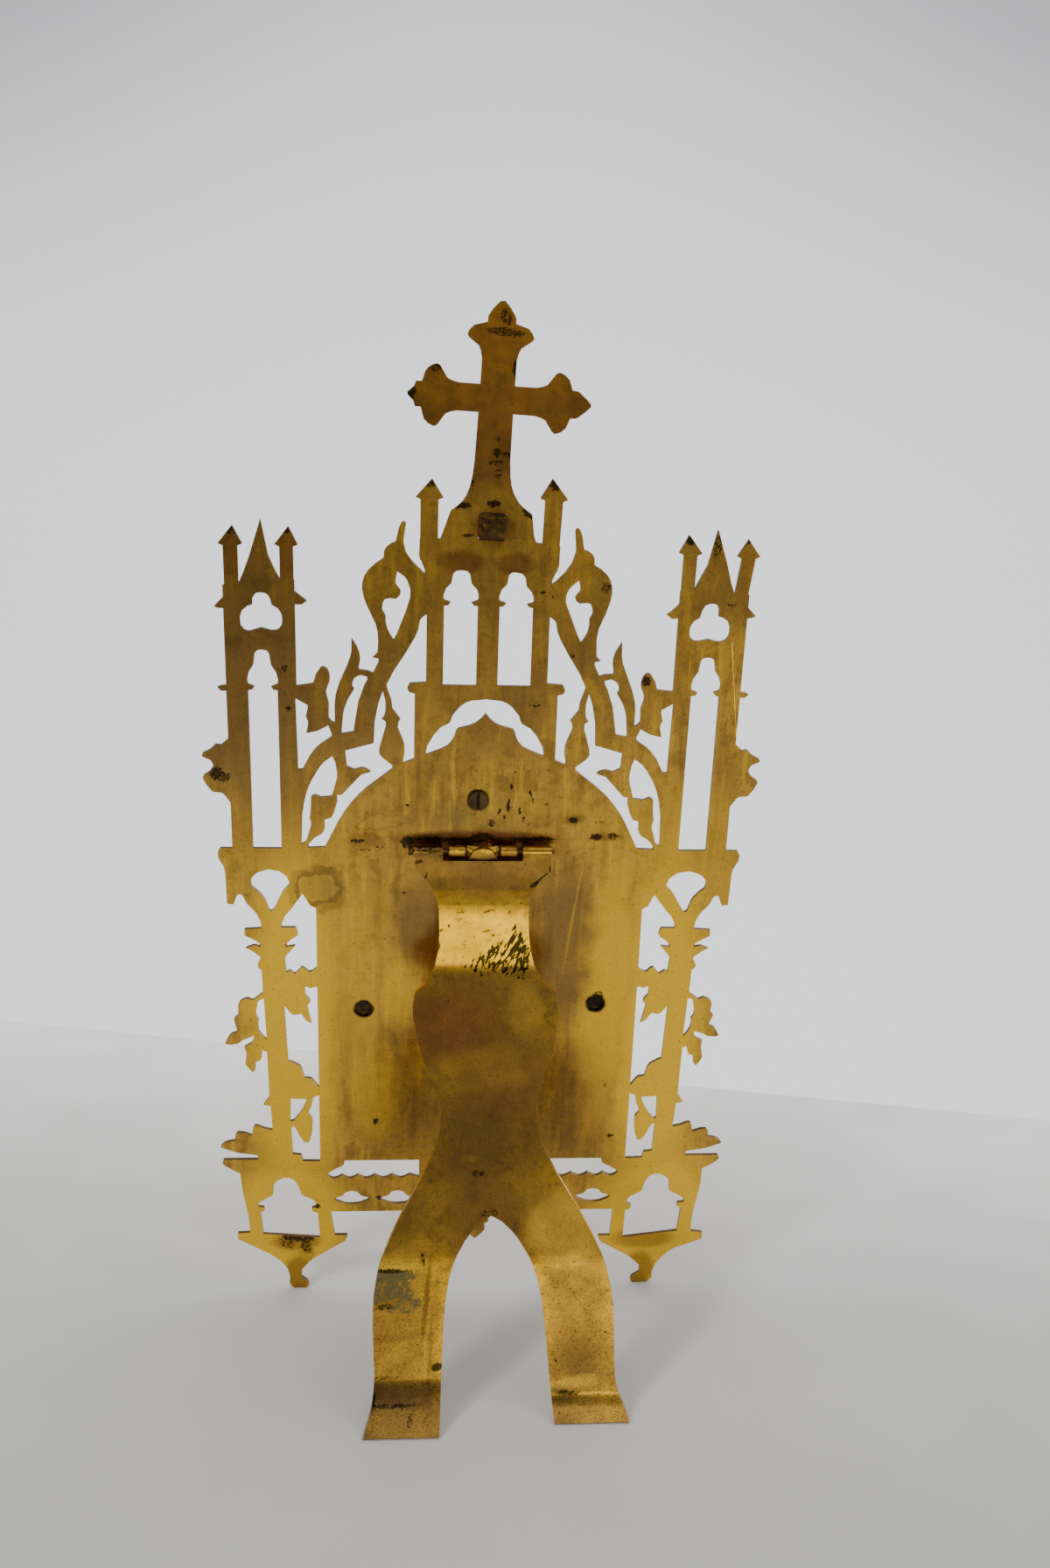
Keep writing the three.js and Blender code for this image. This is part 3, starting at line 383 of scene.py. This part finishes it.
GREEN_ZONES = (
    (-7.1, 172.7, 4.0, 4.0, 0, 0.5), (3.0, 169.5, 5.0, 2.0, 0, 0.25), (-49.7, 148.9, 6.0, 5.6, 0, 0.3),
)

# On the back alone: the rows, how soft they are and their colour
BACK_ZONES = ((HEATED_AND_SHADED, 0.3, HEAT_AND_SHADE_BROWN), (GREEN_ZONES, 0.5, GREENISH), (PALE_LINES, 0.5, BRIGHT))


def plate_marks(look, colour):
    """Worn and stained zones, with painted light and shade, on both sides of the sheet, and the marks of its
    back, with painted shade round the hinge and the screws.
    """
    far = look.ragged(size=14, reach=5)
    behind = look.ramp(look.split(look.plate())[2], -1.0, -0.6)
    # Paler brass, with painted light
    colour = look.mix(look.spots(far, PALE_AND_LIT_ZONES, soft=0.45), colour, BRIGHT)
    # Brown tarnish, with painted shade beside the strut
    colour = look.mix(look.spots(look.after(colour, far), BROWN_AND_SHADED_ZONES, soft=0.5), colour, BROWN)
    near = look.after(colour, look.ragged(size=1.3, reach=0.9))
    # On the back: heat browning with painted shade round the hinge, green stains and pale lines
    for rows, soft, paint in BACK_ZONES:
        colour = look.mix(look.math("MULTIPLY", look.spots(near, rows, soft), behind), colour, paint)
    # Grime and painted shade round the screws
    screw_grime_and_shade = look.spots(look.after(colour, look.ragged(size=2.5, reach=0.5)), SCREW_GRIME_AND_SHADE, soft=0.2)
    colour = look.mix(look.math("MULTIPLY", screw_grime_and_shade, behind), colour, DIRT)
    worn = look.after(colour, look.ragged(size=5, reach=3.4))
    colour = look.mix(look.math("MULTIPLY", look.rings(worn, OUTLINES, width=0.2), behind), colour, DULL)
    # Dark stains, with a painted shadow line above the hinge
    darkening = look.math("MULTIPLY", look.spots(look.after(colour, near), DARK_MARKS_AND_SHADE, soft=0.4), behind)
    return look.mix(look.stained(darkening), colour, DIRT)


# Marks on the strut, in the same coordinates

STRUT_RED = (
    (-9.0, 113.0, 15, 10, 0, 1.0), (8.0, 101.0, 14, 9, 0, 0.8), (-19, 117, 5, 6, 0, 0.8),
    (0, 155, 17, 4.5, 0, 0.25), (-11.6, 128.6, 1.5, 1.2, 0, 0.6),
)
# Brown tarnish, with painted shade in the crotch and in the band at u 152 above the bright box
STRUT_BROWN_AND_SHADE = (
    (-16.5, 163, 4.4, 2.0, 0, 0.8), (15, 92, 4, 14, 0, 0.35), (-13.5, 35, 2.0, 18, -4, 0.6),
    (35, 45, 1.5, 20, 0, 0.4), (-26, 36, 11, 22, 0, 0.8), (29, 42, 10, 22, 0, 0.85),
    (2, 68, 13, 9, 0, 0.75), (8, 106, 12, 8, 0, 0.4), (-24, 68, 9, 9, 0, 0.5), (20, 66, 11, 7, 0, 0.6),
    (0, 72, 18, 12, 0, 0.35), (0, 92, 14, 8, 0, 0.35), (0, 152.6, 17, 3.6, 0, 0.5),
    (2, 139, 12, 3.5, 0, 0.25),
)
# A painted highlight on the polished brass, where the strut reflects the bright band of the room
STRUT_HIGHLIGHT = ((0, 137, 17, 9, 0, 0.4),)
# Paler brass with painted light: the lit right leg, the feet and patches down the middle
LEG_PALE_AND_LIT = (
    (25, 64, 11, 8, 0, 0.7), (13, 118, 5, 8, 0, 0.35), (0, 103, 17, 5, 0, 0.2),
    (-24, 57, 10, 2.6, 14, 0.3), (30, 19.5, 11, 3.6, 0, 0.35), (-25, 18.5, 11, 3.0, 0, 0.2),
    (26, 23.6, 9, 1.6, 0, 0.6), (7.9, 77.5, 2.6, 1.4, 0, 0.25), (-3.9, 80.4, 2.4, 1.4, 0, 0.25),
)
LEG_SMOKE = (
    (-15.9, 46.0, 0.8, 10.5, -6, 0.75), (-14.6, 36.0, 0.5, 9.0, -3, 0.5), (-32.5, 26.0, 2.6, 6.0, 0, 0.5),
    (-24.0, 37.5, 10.0, 1.2, 4, 0.4), (-26.0, 22.6, 10.0, 1.0, 0, 0.35), (1, 84, 20, 9, 0, 0.4),
    (26, 50, 9, 4, 0, 0.2), (28.0, 32.0, 4.0, 5.0, 0, 0.35), (24.0, 21.0, 5.0, 2.0, 0, 0.55),
    (-33.5, 17.0, 2.6, 2.0, 0, 0.5), (-27.5, 47.0, 7.0, 2.0, -10, 0.5),
)
STRUT_GREY = (
    (-27.5, 52.6, 8.0, 1.8, 0, 0.85), (-33.0, 46.5, 3.2, 2.4, 0, 0.75), (-26.0, 47.5, 7.0, 1.6, -6, 0.55),
    (-26.5, 50.2, 8.5, 3.6, -24, 0.6), (-31.0, 53.0, 3.0, 1.6, 0, 0.7), (-19.5, 46.2, 3.2, 2.2, -20, 0.5),
    (-24.0, 44.5, 6.0, 1.4, 0, 0.45),
)
# Dark marks, with painted shadow along the strut's upper edges and under the hinge lug
STRUT_DARK_AND_SHADE = (
    (-27.0, 53.9, 7.5, 0.5, 0, 0.75), (-34.0, 51.5, 1.0, 3.0, 0, 0.7), (-33.5, 46.0, 1.6, 1.4, 0, 0.8),
    (-28.0, 45.0, 3.0, 0.8, 0, 0.5), (-34.2, 26.0, 0.8, 5.0, 0, 0.55), (-15.5, 163.4, 4.4, 0.28, -3, 0.7),
    (-16.0, 164.6, 5.0, 0.5, 0, 0.7), (12.0, 147.5, 0.4, 0.4, 0, 0.6), (-10.0, 141.0, 0.4, 0.5, 0, 0.7),
    (-5.0, 136.5, 0.4, 0.4, 0, 0.6), (-11.0, 133.5, 0.5, 0.3, 0, 0.6), (5.6, 110.0, 0.4, 0.5, 0, 0.5),
    (-28.0, 27.5, 5.0, 0.5, 0, 0.45), (22.0, 30.0, 0.5, 0.5, 0, 0.6), (-33.5, 60.0, 0.6, 3.0, 0, 0.45),
    (-6.8, 145.1, 2.0, 0.9, 0, 0.45), (2.3, 145.2, 1.9, 0.5, 6, 0.6), (1.4, 139.4, 1.6, 0.45, 12, 0.6),
    (3.4, 138.2, 0.6, 0.4, 0, 0.8), (-7.2, 142.6, 0.5, 0.8, 0, 0.5), (-13.0, 139.5, 1.6, 0.5, 10, 0.45),
    (8.4, 144.9, 0.5, 0.5, 0, 0.5), (-0.5, 77.4, 3.2, 0.8, 0, 0.5), (2.5, 67.6, 3.2, 1.1, 0, 0.45),
    (-17.0, 56.6, 0.8, 2.0, 10, 0.6), (-12.7, 30.0, 1.9, 1.0, 10, 0.85), (-31.2, 22.9, 1.2, 1.8, 0, 0.75),
    (-24.9, 21.9, 8.5, 0.35, 0, 0.55), (25.4, 21.4, 3.6, 0.7, 0, 0.65), (36.4, 37.2, 0.4, 0.5, 0, 0.6),
    (28.2, 46.1, 0.22, 5.5, 38, 0.45), (-20.0, 160.2, 2.6, 0.7, 0, 0.55),
    (-19.6, 155.4, 1.9, 0.5, -36, 0.85), (-17.2, 155.2, 0.4, 1.9, -14, 0.8),
    (-18.4, 153.9, 0.9, 0.6, 0, 0.7), (18.6, 155.6, 2.8, 0.6, 36, 0.85), (16.2, 153.6, 2.2, 0.7, 30, 0.7),
    (20.5, 158.6, 0.35, 2.8, 0, 0.85), (-13.0, 136.0, 0.5, 3.0, 0, 0.6), (0, 161.9, 13.5, 1.0, 0, 0.75),
    (-20.4, 19.5, 1.0, 1.0, 0, 0.5), (-10.0, 120.5, 0.4, 0.3, 0, 0.5),
)
STROKES = (
    (6.6, 131.6, 8.0, 5.4, 8, 0.85), (11.0, 133.4, 3.4, 8.0, 10, 1.0), (0.5, 129.5, 6.0, 3.2, 0, 0.75),
)


def strut_marks(look, colour):
    near = look.ragged(size=1.3, reach=0.8)
    far = look.ragged(size=12, reach=4)
    # Red tarnish, brown tarnish with painted shade, and a painted highlight on the polished brass
    for rows, paint in ((STRUT_RED, RED_BROWN), (STRUT_BROWN_AND_SHADE, BROWN), (STRUT_HIGHLIGHT, POLISHED_HIGHLIGHT)):
        colour = look.mix(look.spots(far, rows, soft=0.5), colour, paint)
    # Painted light on the legs and feet
    colour = look.mix(look.spots(look.after(colour, far), LEG_PALE_AND_LIT, soft=0.4), colour, PALE_LIT_BRASS)
    near = look.after(colour, near)
    colour = look.mix(look.spots(near, LEG_SMOKE, soft=0.6), colour, SMOKE)
    grey = look.stained(look.spots(near, STRUT_GREY, soft=0.5), size=1.6, offset=(5, 5, 5))
    colour = look.mix(grey, colour, TARNISH)
    strokes = look.noise(size=0.95, detail=3, roughness=0.64, scale=(1, 0.15, 1), offset=(4, 8, 0),
                         where=look.leaning(24))
    grit = look.noise(size=0.55, detail=4, roughness=0.75, offset=(2, 9, 4))
    grit = look.ramp(grit, 0.50, 0.60, to_high=0.55)
    grit = look.math("MULTIPLY", grit, look.ramp(look.split(look.plate())[1], 75, 40, to_low=0.15))
    colour = look.mix(grit, colour, GRIT)
    scored = look.math("MULTIPLY_ADD", look.spots(near, STROKES, soft=0.45), 0.32, strokes)
    scored = look.ramp(scored, 0.745, 0.785)
    # Dark marks, with painted shadow along the upper edges
    darkening = look.spots(near, STRUT_DARK_AND_SHADE, soft=0.4)
    return look.mix(look.math("MAXIMUM", look.stained(darkening), scored), colour, DIRT)


# Marks and painted shade on the hinge and the top screw, in the same coordinates

# Painted shade in the gaps between the knuckles and under the lug's tube
HINGE_GAP_SHADE = (
    (-5.0, 163, 0.45, 3, 0, 0.8), (5.0, 163, 0.45, 3, 0, 0.8), (-10.5, 163, 0.5, 3, 0, 0.9),
    (10.5, 163, 0.5, 3, 0, 0.9), (0, 160.7, 5.0, 0.4, 0, 0.9), (0, 161.3, 12, 0.3, 0, 0.7),
)
# Worn bright spots, and a painted highlight on the lug's domed boss
HINGE_WORN_AND_HIGHLIT = ((0, 164.4, 4.4, 1.8, 0, 0.3), (-8, 163.4, 2.4, 0.7, 0, 0.5))
# Painted shade in the top screw's slot and beside it
SCREW_SLOT_SHADE = ((-1.7, 178, 0.5, 3.2, 0, 0.95), (-3.4, 177, 0.9, 1.6, 0, 0.5))
SCREW_RIM = ((-1.7, 178, 3.0, 3.0, 0, 0.8),)


def hinge_marks(look, colour):
    near = look.ragged(size=1.5, reach=0.3)
    # Painted shade in the hinge's gaps
    darkening = look.spots(near, HINGE_GAP_SHADE, soft=0.4)
    # Painted shade at the lug's foot, darker the closer it comes to the plate
    low = look.ramp(look.split(look.plate())[2], 1.3, 0.5, to_high=0.9)
    # Wear, and a painted highlight on the boss
    colour = look.mix(look.spots(near, HINGE_WORN_AND_HIGHLIT, soft=0.4), colour, BRIGHT)
    return look.mix(look.math("MAXIMUM", darkening, low), colour, PAINTED_SHADE)


def screw_marks(look, colour):
    # Painted shade in the slot
    darkening = look.spots(look.ragged(size=1.2, reach=0.15), SCREW_SLOT_SHADE, soft=0.25)
    rim = look.rings(look.plate(), SCREW_RIM, width=0.14)
    return look.mix(look.math("MAXIMUM", darkening, rim), colour, DIRT)


plate_material = brass("plate_brass", marks=plate_marks, streaks=0.42, cloud=0.4)
strut_material = brass("strut_brass", gold=(0.65, 0.375, 0.050, 1), brown=(0.48, 0.265, 0.060, 1), rough=0.22,
                       marks=strut_marks, speckle=0.9, wave=0.1, grain=0.0012, streaks=0.15, cloud=0.6)
# The sawn edges are painted dark brown, as painted shade on the sheet's thickness
shaded_edge_material = brass("shaded_edge_brass", gold=(0.13, 0.074, 0.026, 1), brown=(0.06, 0.035, 0.016, 1), rough=0.36,
                      wave=0.0)
# A bright colour on the strut's rounded rim, as a painted highlight along its edges
rim_highlight_material = brass("rim_highlight_brass", gold=(1.0, 0.66, 0.12, 1), brown=(0.55, 0.32, 0.06, 1), rough=0.36,
                     wave=0.0)
frame_material = brass("frame_brass", wave=0.1)
boss_material = brass("boss_brass", wave=0.05)
lug_material = brass("lug_brass", rough=0.3, marks=hinge_marks, wave=0.0)
pin_material = brass("pin_brass", gold=(0.17, 0.12, 0.07, 1), brown=(0.06, 0.045, 0.03, 1), rough=0.4,
                     wave=0.0)
screw_material = brass("screw_brass", gold=(0.17, 0.105, 0.048, 1), brown=(0.07, 0.045, 0.024, 1), rough=0.34,
                       marks=screw_marks, wave=0.0)
iron_material = brass("screw_iron", gold=(0.045, 0.036, 0.028, 1), brown=(0.02, 0.015, 0.012, 1), rough=0.5,
                      wave=0.0)
peen_material = brass("peen_brass", gold=(0.085, 0.050, 0.026, 1), brown=(0.03, 0.018, 0.012, 1), rough=0.34,
                      wave=0.0)


# Pieces

WELD_METRES = 2e-6
FLAT_DEGREES = 0.2
BEVEL_DEGREES = 50
SHARP_DEGREES = 34


def meshed(name, shape):
    mesh = bpy.data.meshes.new(name)
    shape.to_mesh(mesh)
    shape.free()
    return mesh


def placed(name, mesh, body, materials):
    """A piece that rides on a body, with the first of its materials all over."""
    mesh.materials.clear()
    for material in materials:
        mesh.materials.append(material)
    for face in mesh.polygons:
        face.material_index = 0
    piece = bpy.data.objects.new(name, mesh)
    bpy.context.collection.objects.link(piece)
    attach(piece, body)
    return piece


def settle(piece):
    """Applies the piece's modifiers to its mesh."""
    bpy.context.view_layer.update()
    shape = bpy.data.meshes.new_from_object(piece.evaluated_get(bpy.context.evaluated_depsgraph_get()))
    piece.modifiers.clear()
    piece.data = shape


def bevelled(name, node, body, materials, width_mm, walls=None):
    """A copy of a CAD node whose edges are rounded, with the last material on the rounded edges and walls."""
    shape = bmesh.new()
    shape.from_mesh(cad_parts[node].data)
    bmesh.ops.remove_doubles(shape, verts=shape.verts, dist=WELD_METRES)
    bmesh.ops.dissolve_limit(shape, angle_limit=math.radians(FLAT_DEGREES), verts=shape.verts,
                             edges=shape.edges)
    piece = placed(name, meshed(name, shape), body, materials)
    piece.data.shade_smooth()
    bevel = piece.modifiers.new("bevel", "BEVEL")
    bevel.width = width_mm / MM_IN_METRE
    bevel.segments = 2
    bevel.limit_method = "ANGLE"
    bevel.angle_limit = math.radians(BEVEL_DEGREES)
    bevel.material = len(materials) - 1
    settle(piece)
    if walls:
        for face in piece.data.polygons:
            if walls(face):
                face.material_index = len(materials) - 1
    piece.data.set_sharp_from_angle(angle=math.radians(SHARP_DEGREES))
    weigh = piece.modifiers.new("weigh", "WEIGHTED_NORMAL")
    weigh.keep_sharp = True
    settle(piece)
    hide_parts(node)


def rounded(name, node, body, material, voxel_mm, smoothing, moved):
    """A softened copy of a CAD node, for worn and hand-made lumps; moved shifts its drawing points first."""
    piece = placed(name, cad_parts[node].data.copy(), body, [material])
    remesh = piece.modifiers.new("remesh", "REMESH")
    remesh.mode = "VOXEL"
    remesh.voxel_size = voxel_mm / MM_IN_METRE
    settle(piece)
    for vertex in piece.data.vertices:
        vertex.co = at(*moved(drawn_from(vertex.co)))
    smooth = piece.modifiers.new("smooth", "SMOOTH")
    smooth.factor = 0.5
    smooth.iterations = smoothing
    settle(piece)
    piece.data.shade_smooth()
    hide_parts(node)


def bridge(shape, low, high):
    """Faces between two closed rows of vertices."""
    for here, start in enumerate(low):
        after = (here + 1) % len(low)
        shape.faces.new((start, high[here], high[after], low[after]))


def sawn(face):
    """True for a face on the sheet's sawn edge."""
    return abs(face.normal.dot(OUT)) < 0.5


# Painted shade on the plate's sawn edges, and a painted highlight on the strut's rounded rim
bevelled("plate_sheet", "back_plate", "altarpiece", [plate_material, shaded_edge_material],
         width_mm=0.14, walls=sawn)
bevelled("strut_sheet", "strut", "strut", [strut_material, rim_highlight_material], width_mm=0.42)
bevelled("top_screw_head", "top_screw", "altarpiece", [screw_material], width_mm=0.16)
bevelled("boss_front", "cross_boss", "altarpiece", [boss_material], width_mm=0.2)


def domed(point):
    """The hinge lug with its boss domed, and with a slightly uneven surface."""
    middle_u, half_width, round_a, round_u = 163, 5, 4.6, 3.2
    flat_n, fade_n, drop, uneven = 3.6, 2, 1.3, 0.12
    a, u, n = point
    if n > flat_n and abs(a) < half_width:
        away = (a / round_a) ** 2 + ((u - middle_u) / round_u) ** 2
        n -= drop * min(1.0, away) * min(1.0, (n - flat_n) / fade_n)
    shake_u = noise.noise(Vector((a, u, n)) * 0.7)
    shake_n = noise.noise(Vector((a, n, u)) * 0.6)
    return a, u + uneven * shake_u, n + uneven * shake_n


def lumpy(strength, size):
    """Shifts by up to strength millimetres, in lumps about size millimetres across."""
    def moved(point):
        return point + strength * noise.noise_vector(point / size)
    return moved


# Without a seed the lumps would differ from run to run
noise.seed_set(5)

rounded("hinge_lug_body", "hinge_lug", "altarpiece", lug_material, voxel_mm=0.16, smoothing=8,
        moved=domed)
rounded("hinge_pin_body", "hinge_pin", "altarpiece", pin_material, voxel_mm=0.13, smoothing=3,
        moved=lumpy(0.12, 0.9))
rounded("left_screw_end", "left_screw", "altarpiece", iron_material, voxel_mm=0.2,
        smoothing=2, moved=lumpy(0.2, 1.1))
rounded("right_screw_end", "right_screw", "altarpiece", iron_material, voxel_mm=0.2,
        smoothing=2, moved=lumpy(0.2, 1.3))


def peened_end():
    """The boss's square shank, hammered over into a low lumpy square that hides its hole."""
    centre_a, centre_u, half, steps, bend = 0.4, 259.8, 3.95, 30, math.radians(-2.4)
    lowest, rise, lumps, skirt_metres = 0.02, 0.62, 0.3, 0.0003
    shape = bmesh.new()
    rows = []
    for i in range(steps + 1):
        row = []
        for j in range(steps + 1):
            s, t = 2 * i / steps - 1, 2 * j / steps - 1
            inside = 1 - max(abs(s), abs(t)) ** 6
            wobble = 1 + 0.05 * noise.noise(Vector((2.2 * s, 2.2 * t, 4.0)))
            pull = 1 - 0.07 * (s * t) ** 4
            a, u = half * s * wobble * pull, half * t * wobble * pull
            n = lowest + rise * inside + lumps * noise.noise(Vector((0.55 * a, 0.55 * u, 1.0))) * inside
            turned_a = a * math.cos(bend) - u * math.sin(bend)
            turned_u = a * math.sin(bend) + u * math.cos(bend)
            row.append(shape.verts.new(at(centre_a + turned_a, centre_u + turned_u, max(n, lowest))))
        rows.append(row)
    for low, high in zip(rows, rows[1:]):
        for j in range(steps):
            shape.faces.new((low[j], high[j], high[j + 1], low[j + 1]))
    border = rows[0][:-1] + [row[-1] for row in rows[:-1]]
    border += rows[-1][:0:-1] + [row[0] for row in rows[:0:-1]]
    below = [shape.verts.new(vertex.co - OUT * skirt_metres) for vertex in border]
    bridge(shape, border, below)
    shape.faces.new(below)
    bmesh.ops.recalc_face_normals(shape, faces=shape.faces)
    piece = placed("peened_end", meshed("peened_end", shape), "altarpiece", [peen_material])
    piece.data.shade_smooth()


def front_moulding():
    """The arched frame on the front: a half-round moulding between two flat fillets."""
    radius_mm, centre_u, bottom_u, half_width, depth, gap = 36.5, 141.5, 58, 4.5, 4, 0.3
    arch_steps, round_steps = 72, 14

    # Across and high, as shares of the half width and the depth
    profile = [(-1, 0), (-1, 0.28), (-0.74, 0.31)]
    for k in range(round_steps + 1):
        angle = math.pi * k / round_steps
        profile.append((-0.68 * math.cos(angle), 0.36 + 0.62 * math.sin(angle)))
    profile += [(0.74, 0.31), (1, 0.28), (1, 0)]

    shape = bmesh.new()
    rings = []
    for outward, high in profile:
        offset, n = outward * half_width, -SHEET_MM - gap - high * depth
        radius, bottom = radius_mm + offset, bottom_u - offset
        path = [(-radius, bottom), (radius, bottom)]
        for i in range(arch_steps + 1):
            angle = math.pi * i / arch_steps
            path.append((radius * math.cos(angle), centre_u + radius * math.sin(angle)))
        rings.append([shape.verts.new(at(a, u, n)) for a, u in path])
    for k, low in enumerate(rings):
        bridge(shape, low, rings[(k + 1) % len(rings)])
    bmesh.ops.recalc_face_normals(shape, faces=shape.faces)
    mesh = meshed("front_moulding", shape)
    piece = placed("front_moulding", mesh, "altarpiece", [frame_material])
    piece.data.shade_smooth()
    piece.data.set_sharp_from_angle(angle=math.radians(SHARP_DEGREES))
    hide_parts("front_frame")


peened_end()
front_moulding()


# Stage: a pale table in a pale bowl, and soft light

TABLE_TURN = math.radians(-15.7)
TABLE_BACK, TABLE_FRONT, TABLE_HALF = -0.243, 0.36, 0.75
ALONG = Vector((math.cos(TABLE_TURN), math.sin(TABLE_TURN), 0))
ACROSS = Vector((-ALONG.y, ALONG.x, 0))


def staged(name, shape, material):
    mesh = meshed(name, shape)
    mesh.materials.append(material)
    piece = bpy.data.objects.new(name, mesh)
    bpy.context.collection.objects.link(piece)
    return piece


def wall_paint():
    """Light that fades towards the top and the upper corners."""
    fade_from, fade_height = 0.25, 0.64
    side_from, side_width = -0.1, 0.7
    top_fade, side_fade, corner_fade = 0.40, 0.10, 0.62
    brightest, darkest = 1.42, 0.66
    look = Finish("backdrop_paint")
    x, _, z = look.split(look.metres())
    up = look.math("MULTIPLY_ADD", z, 1 / fade_height, -fade_from / fade_height)
    up = look.math("MULTIPLY", up, look.math("MAXIMUM", up, 0))
    side = look.math("MULTIPLY_ADD", x, 1 / side_width, -side_from / side_width)
    side = look.math("POWER", side, 2)
    fade = look.math("MULTIPLY_ADD", up, top_fade, look.math("MULTIPLY", side, side_fade))
    fade = look.math("MULTIPLY_ADD", look.math("MULTIPLY", up, side), corner_fade, fade)
    glow = look.math("MAXIMUM", look.math("SUBTRACT", brightest, fade), darkest)
    light = look.nodes.new("ShaderNodeEmission")
    light.inputs["Color"].default_value = (0.955, 0.965, 1.0, 1)
    look.put(glow, light.inputs["Strength"])
    look.links.new(light.outputs[0], look.nodes["Material Output"].inputs["Surface"])
    look.nodes.remove(look.shader)
    look.material.cycles.emission_sampling = "NONE"
    return look.material


def table_paint_and_light():
    """Matt paint with painted light: lighter towards the table's far edge, with a painted glow along that
    edge.
    """
    edge_glow_depth, edge_glow = 0.2, 0.27
    look = Finish("floor_paint_and_light")
    x, y, _ = look.split(look.metres())
    depth = look.math("MULTIPLY_ADD", y, ACROSS.y, look.math("MULTIPLY", x, ACROSS.x))
    # Painted light: lighter towards the far edge
    near = look.ramp(depth, -0.34, 0.14)
    blotch = look.ramp(look.noise(size=45), 0.3, 0.7, to_high=0.25)
    colour = look.mix(near, (0.94, 0.94, 0.94, 1), (0.55, 0.55, 0.542, 1))
    # A painted glow that fades away from the far edge
    glow = look.ramp(depth, TABLE_BACK, TABLE_BACK + edge_glow_depth, to_low=edge_glow, to_high=0.0)
    colour = look.mix(blotch, colour, (0.5, 0.5, 0.495, 1))
    return look.finish(Base_Color=colour, Roughness=0.7, Specular_IOR_Level=0.2,
                       Emission_Color=(1, 1, 1, 1), Emission_Strength=glow)


def bowl(name, floor_radius, bend, top, material, sides=96, bend_steps=12):
    """A round floor that bends up into a wall. Its first two rings lie inside the floor."""
    profile = [(0.05, 0), (0.5, 0), (floor_radius, 0)]
    for k in range(1, bend_steps + 1):
        turn = math.pi / 2 * k / bend_steps
        profile.append((floor_radius + bend * math.sin(turn), bend * (1 - math.cos(turn))))
    profile.append((floor_radius + bend, top))
    turns = [2 * math.pi * side / sides for side in range(sides)]
    shape = bmesh.new()
    rings = []
    for radius, z in profile:
        places = [(radius * math.cos(turn), radius * math.sin(turn), z) for turn in turns]
        rings.append([shape.verts.new(place) for place in places])
    shape.faces.new(rings[0])
    for low, high in zip(rings, rings[1:]):
        bridge(shape, low, high)
    bmesh.ops.recalc_face_normals(shape, faces=shape.faces)
    piece = staged(name, shape, material)
    piece.data.shade_smooth()
    return piece


def table():
    shape = bmesh.new()
    left, right = -ALONG * TABLE_HALF, ALONG * TABLE_HALF
    back, front = ACROSS * TABLE_BACK, ACROSS * TABLE_FRONT
    corners = (back + left, back + right, front + right, front + left)
    shape.faces.new([shape.verts.new(corner) for corner in corners])
    staged("floor", shape, table_paint_and_light())


def soft_light(name, place, target, size, power):
    lamp = bpy.data.lights.new(name, "AREA")
    lamp.shape = "DISK"
    lamp.size = size
    lamp.energy = power
    holder = bpy.data.objects.new(name, lamp)
    bpy.context.collection.objects.link(holder)
    holder.location = place
    holder.rotation_euler = (Vector(target) - Vector(place)).to_track_quat("-Z", "Y").to_euler()
    holder.visible_glossy = False
    holder.visible_camera = False


backdrop = bowl("backdrop", floor_radius=1.0, bend=0.5, top=1.6, material=wall_paint())
backdrop.location.z = -0.004
backdrop.visible_glossy = False
table()
soft_light("key", place=(0.85, 0.95, 0.8), target=(0, 0, 0.05), size=0.3, power=9)


# The room that the brass reflects. On the camera's side each row gives the sine of a height above the
# horizon, the light there and its share of blue. The far side is pale at every height. Both are brighter
# towards -X.
ROOM = ((-0.60, 0.30, 0.9), (-0.42, 0.20, 0.9), (-0.19, 0.10, 0.9), (-0.115, 2.3, 0.27), (0.02, 2.3, 0.27),
        (0.10, 0.24, 0.9), (0.60, 0.21, 0.9), (0.85, 0.6, 0.9))
GREEN_SHARE = 0.955
FAR_SIDE = (1.0, 0.98, 0.92)

world = bpy.context.scene.world or bpy.data.worlds.new("world")
bpy.context.scene.world = world
world.use_nodes = True
world.cycles.sampling_method = "NONE"
room = Nodes(world.node_tree)
x, y, z = room.split(room.nodes.new("ShaderNodeTexCoord").outputs["Generated"])
height = room.math("MULTIPLY_ADD", z, 0.5, 0.5)
bands = room.nodes.new("ShaderNodeValToRGB")
room.put(height, bands.inputs[0])
while len(bands.color_ramp.elements) < len(ROOM):
    bands.color_ramp.elements.new(0.5)
for element, (sine, light, blue) in zip(bands.color_ramp.elements, ROOM):
    element.position = (sine + 1) / 2
    element.color = (light, GREEN_SHARE * light, blue * light, 1)
near_side = room.scaled(bands.outputs[0], room.ramp(x, -0.03, -0.20, to_low=1.0, to_high=1.9))
far_side = room.scaled(FAR_SIDE, room.ramp(x, 0.1, -0.6, to_low=0.8, to_high=2.4))
blend = room.mix(room.ramp(y, 0.0, 0.45), far_side, near_side)
room.put(blend, room.nodes["Background"].inputs[0])
room.put(1.0, room.nodes["Background"].inputs[1])
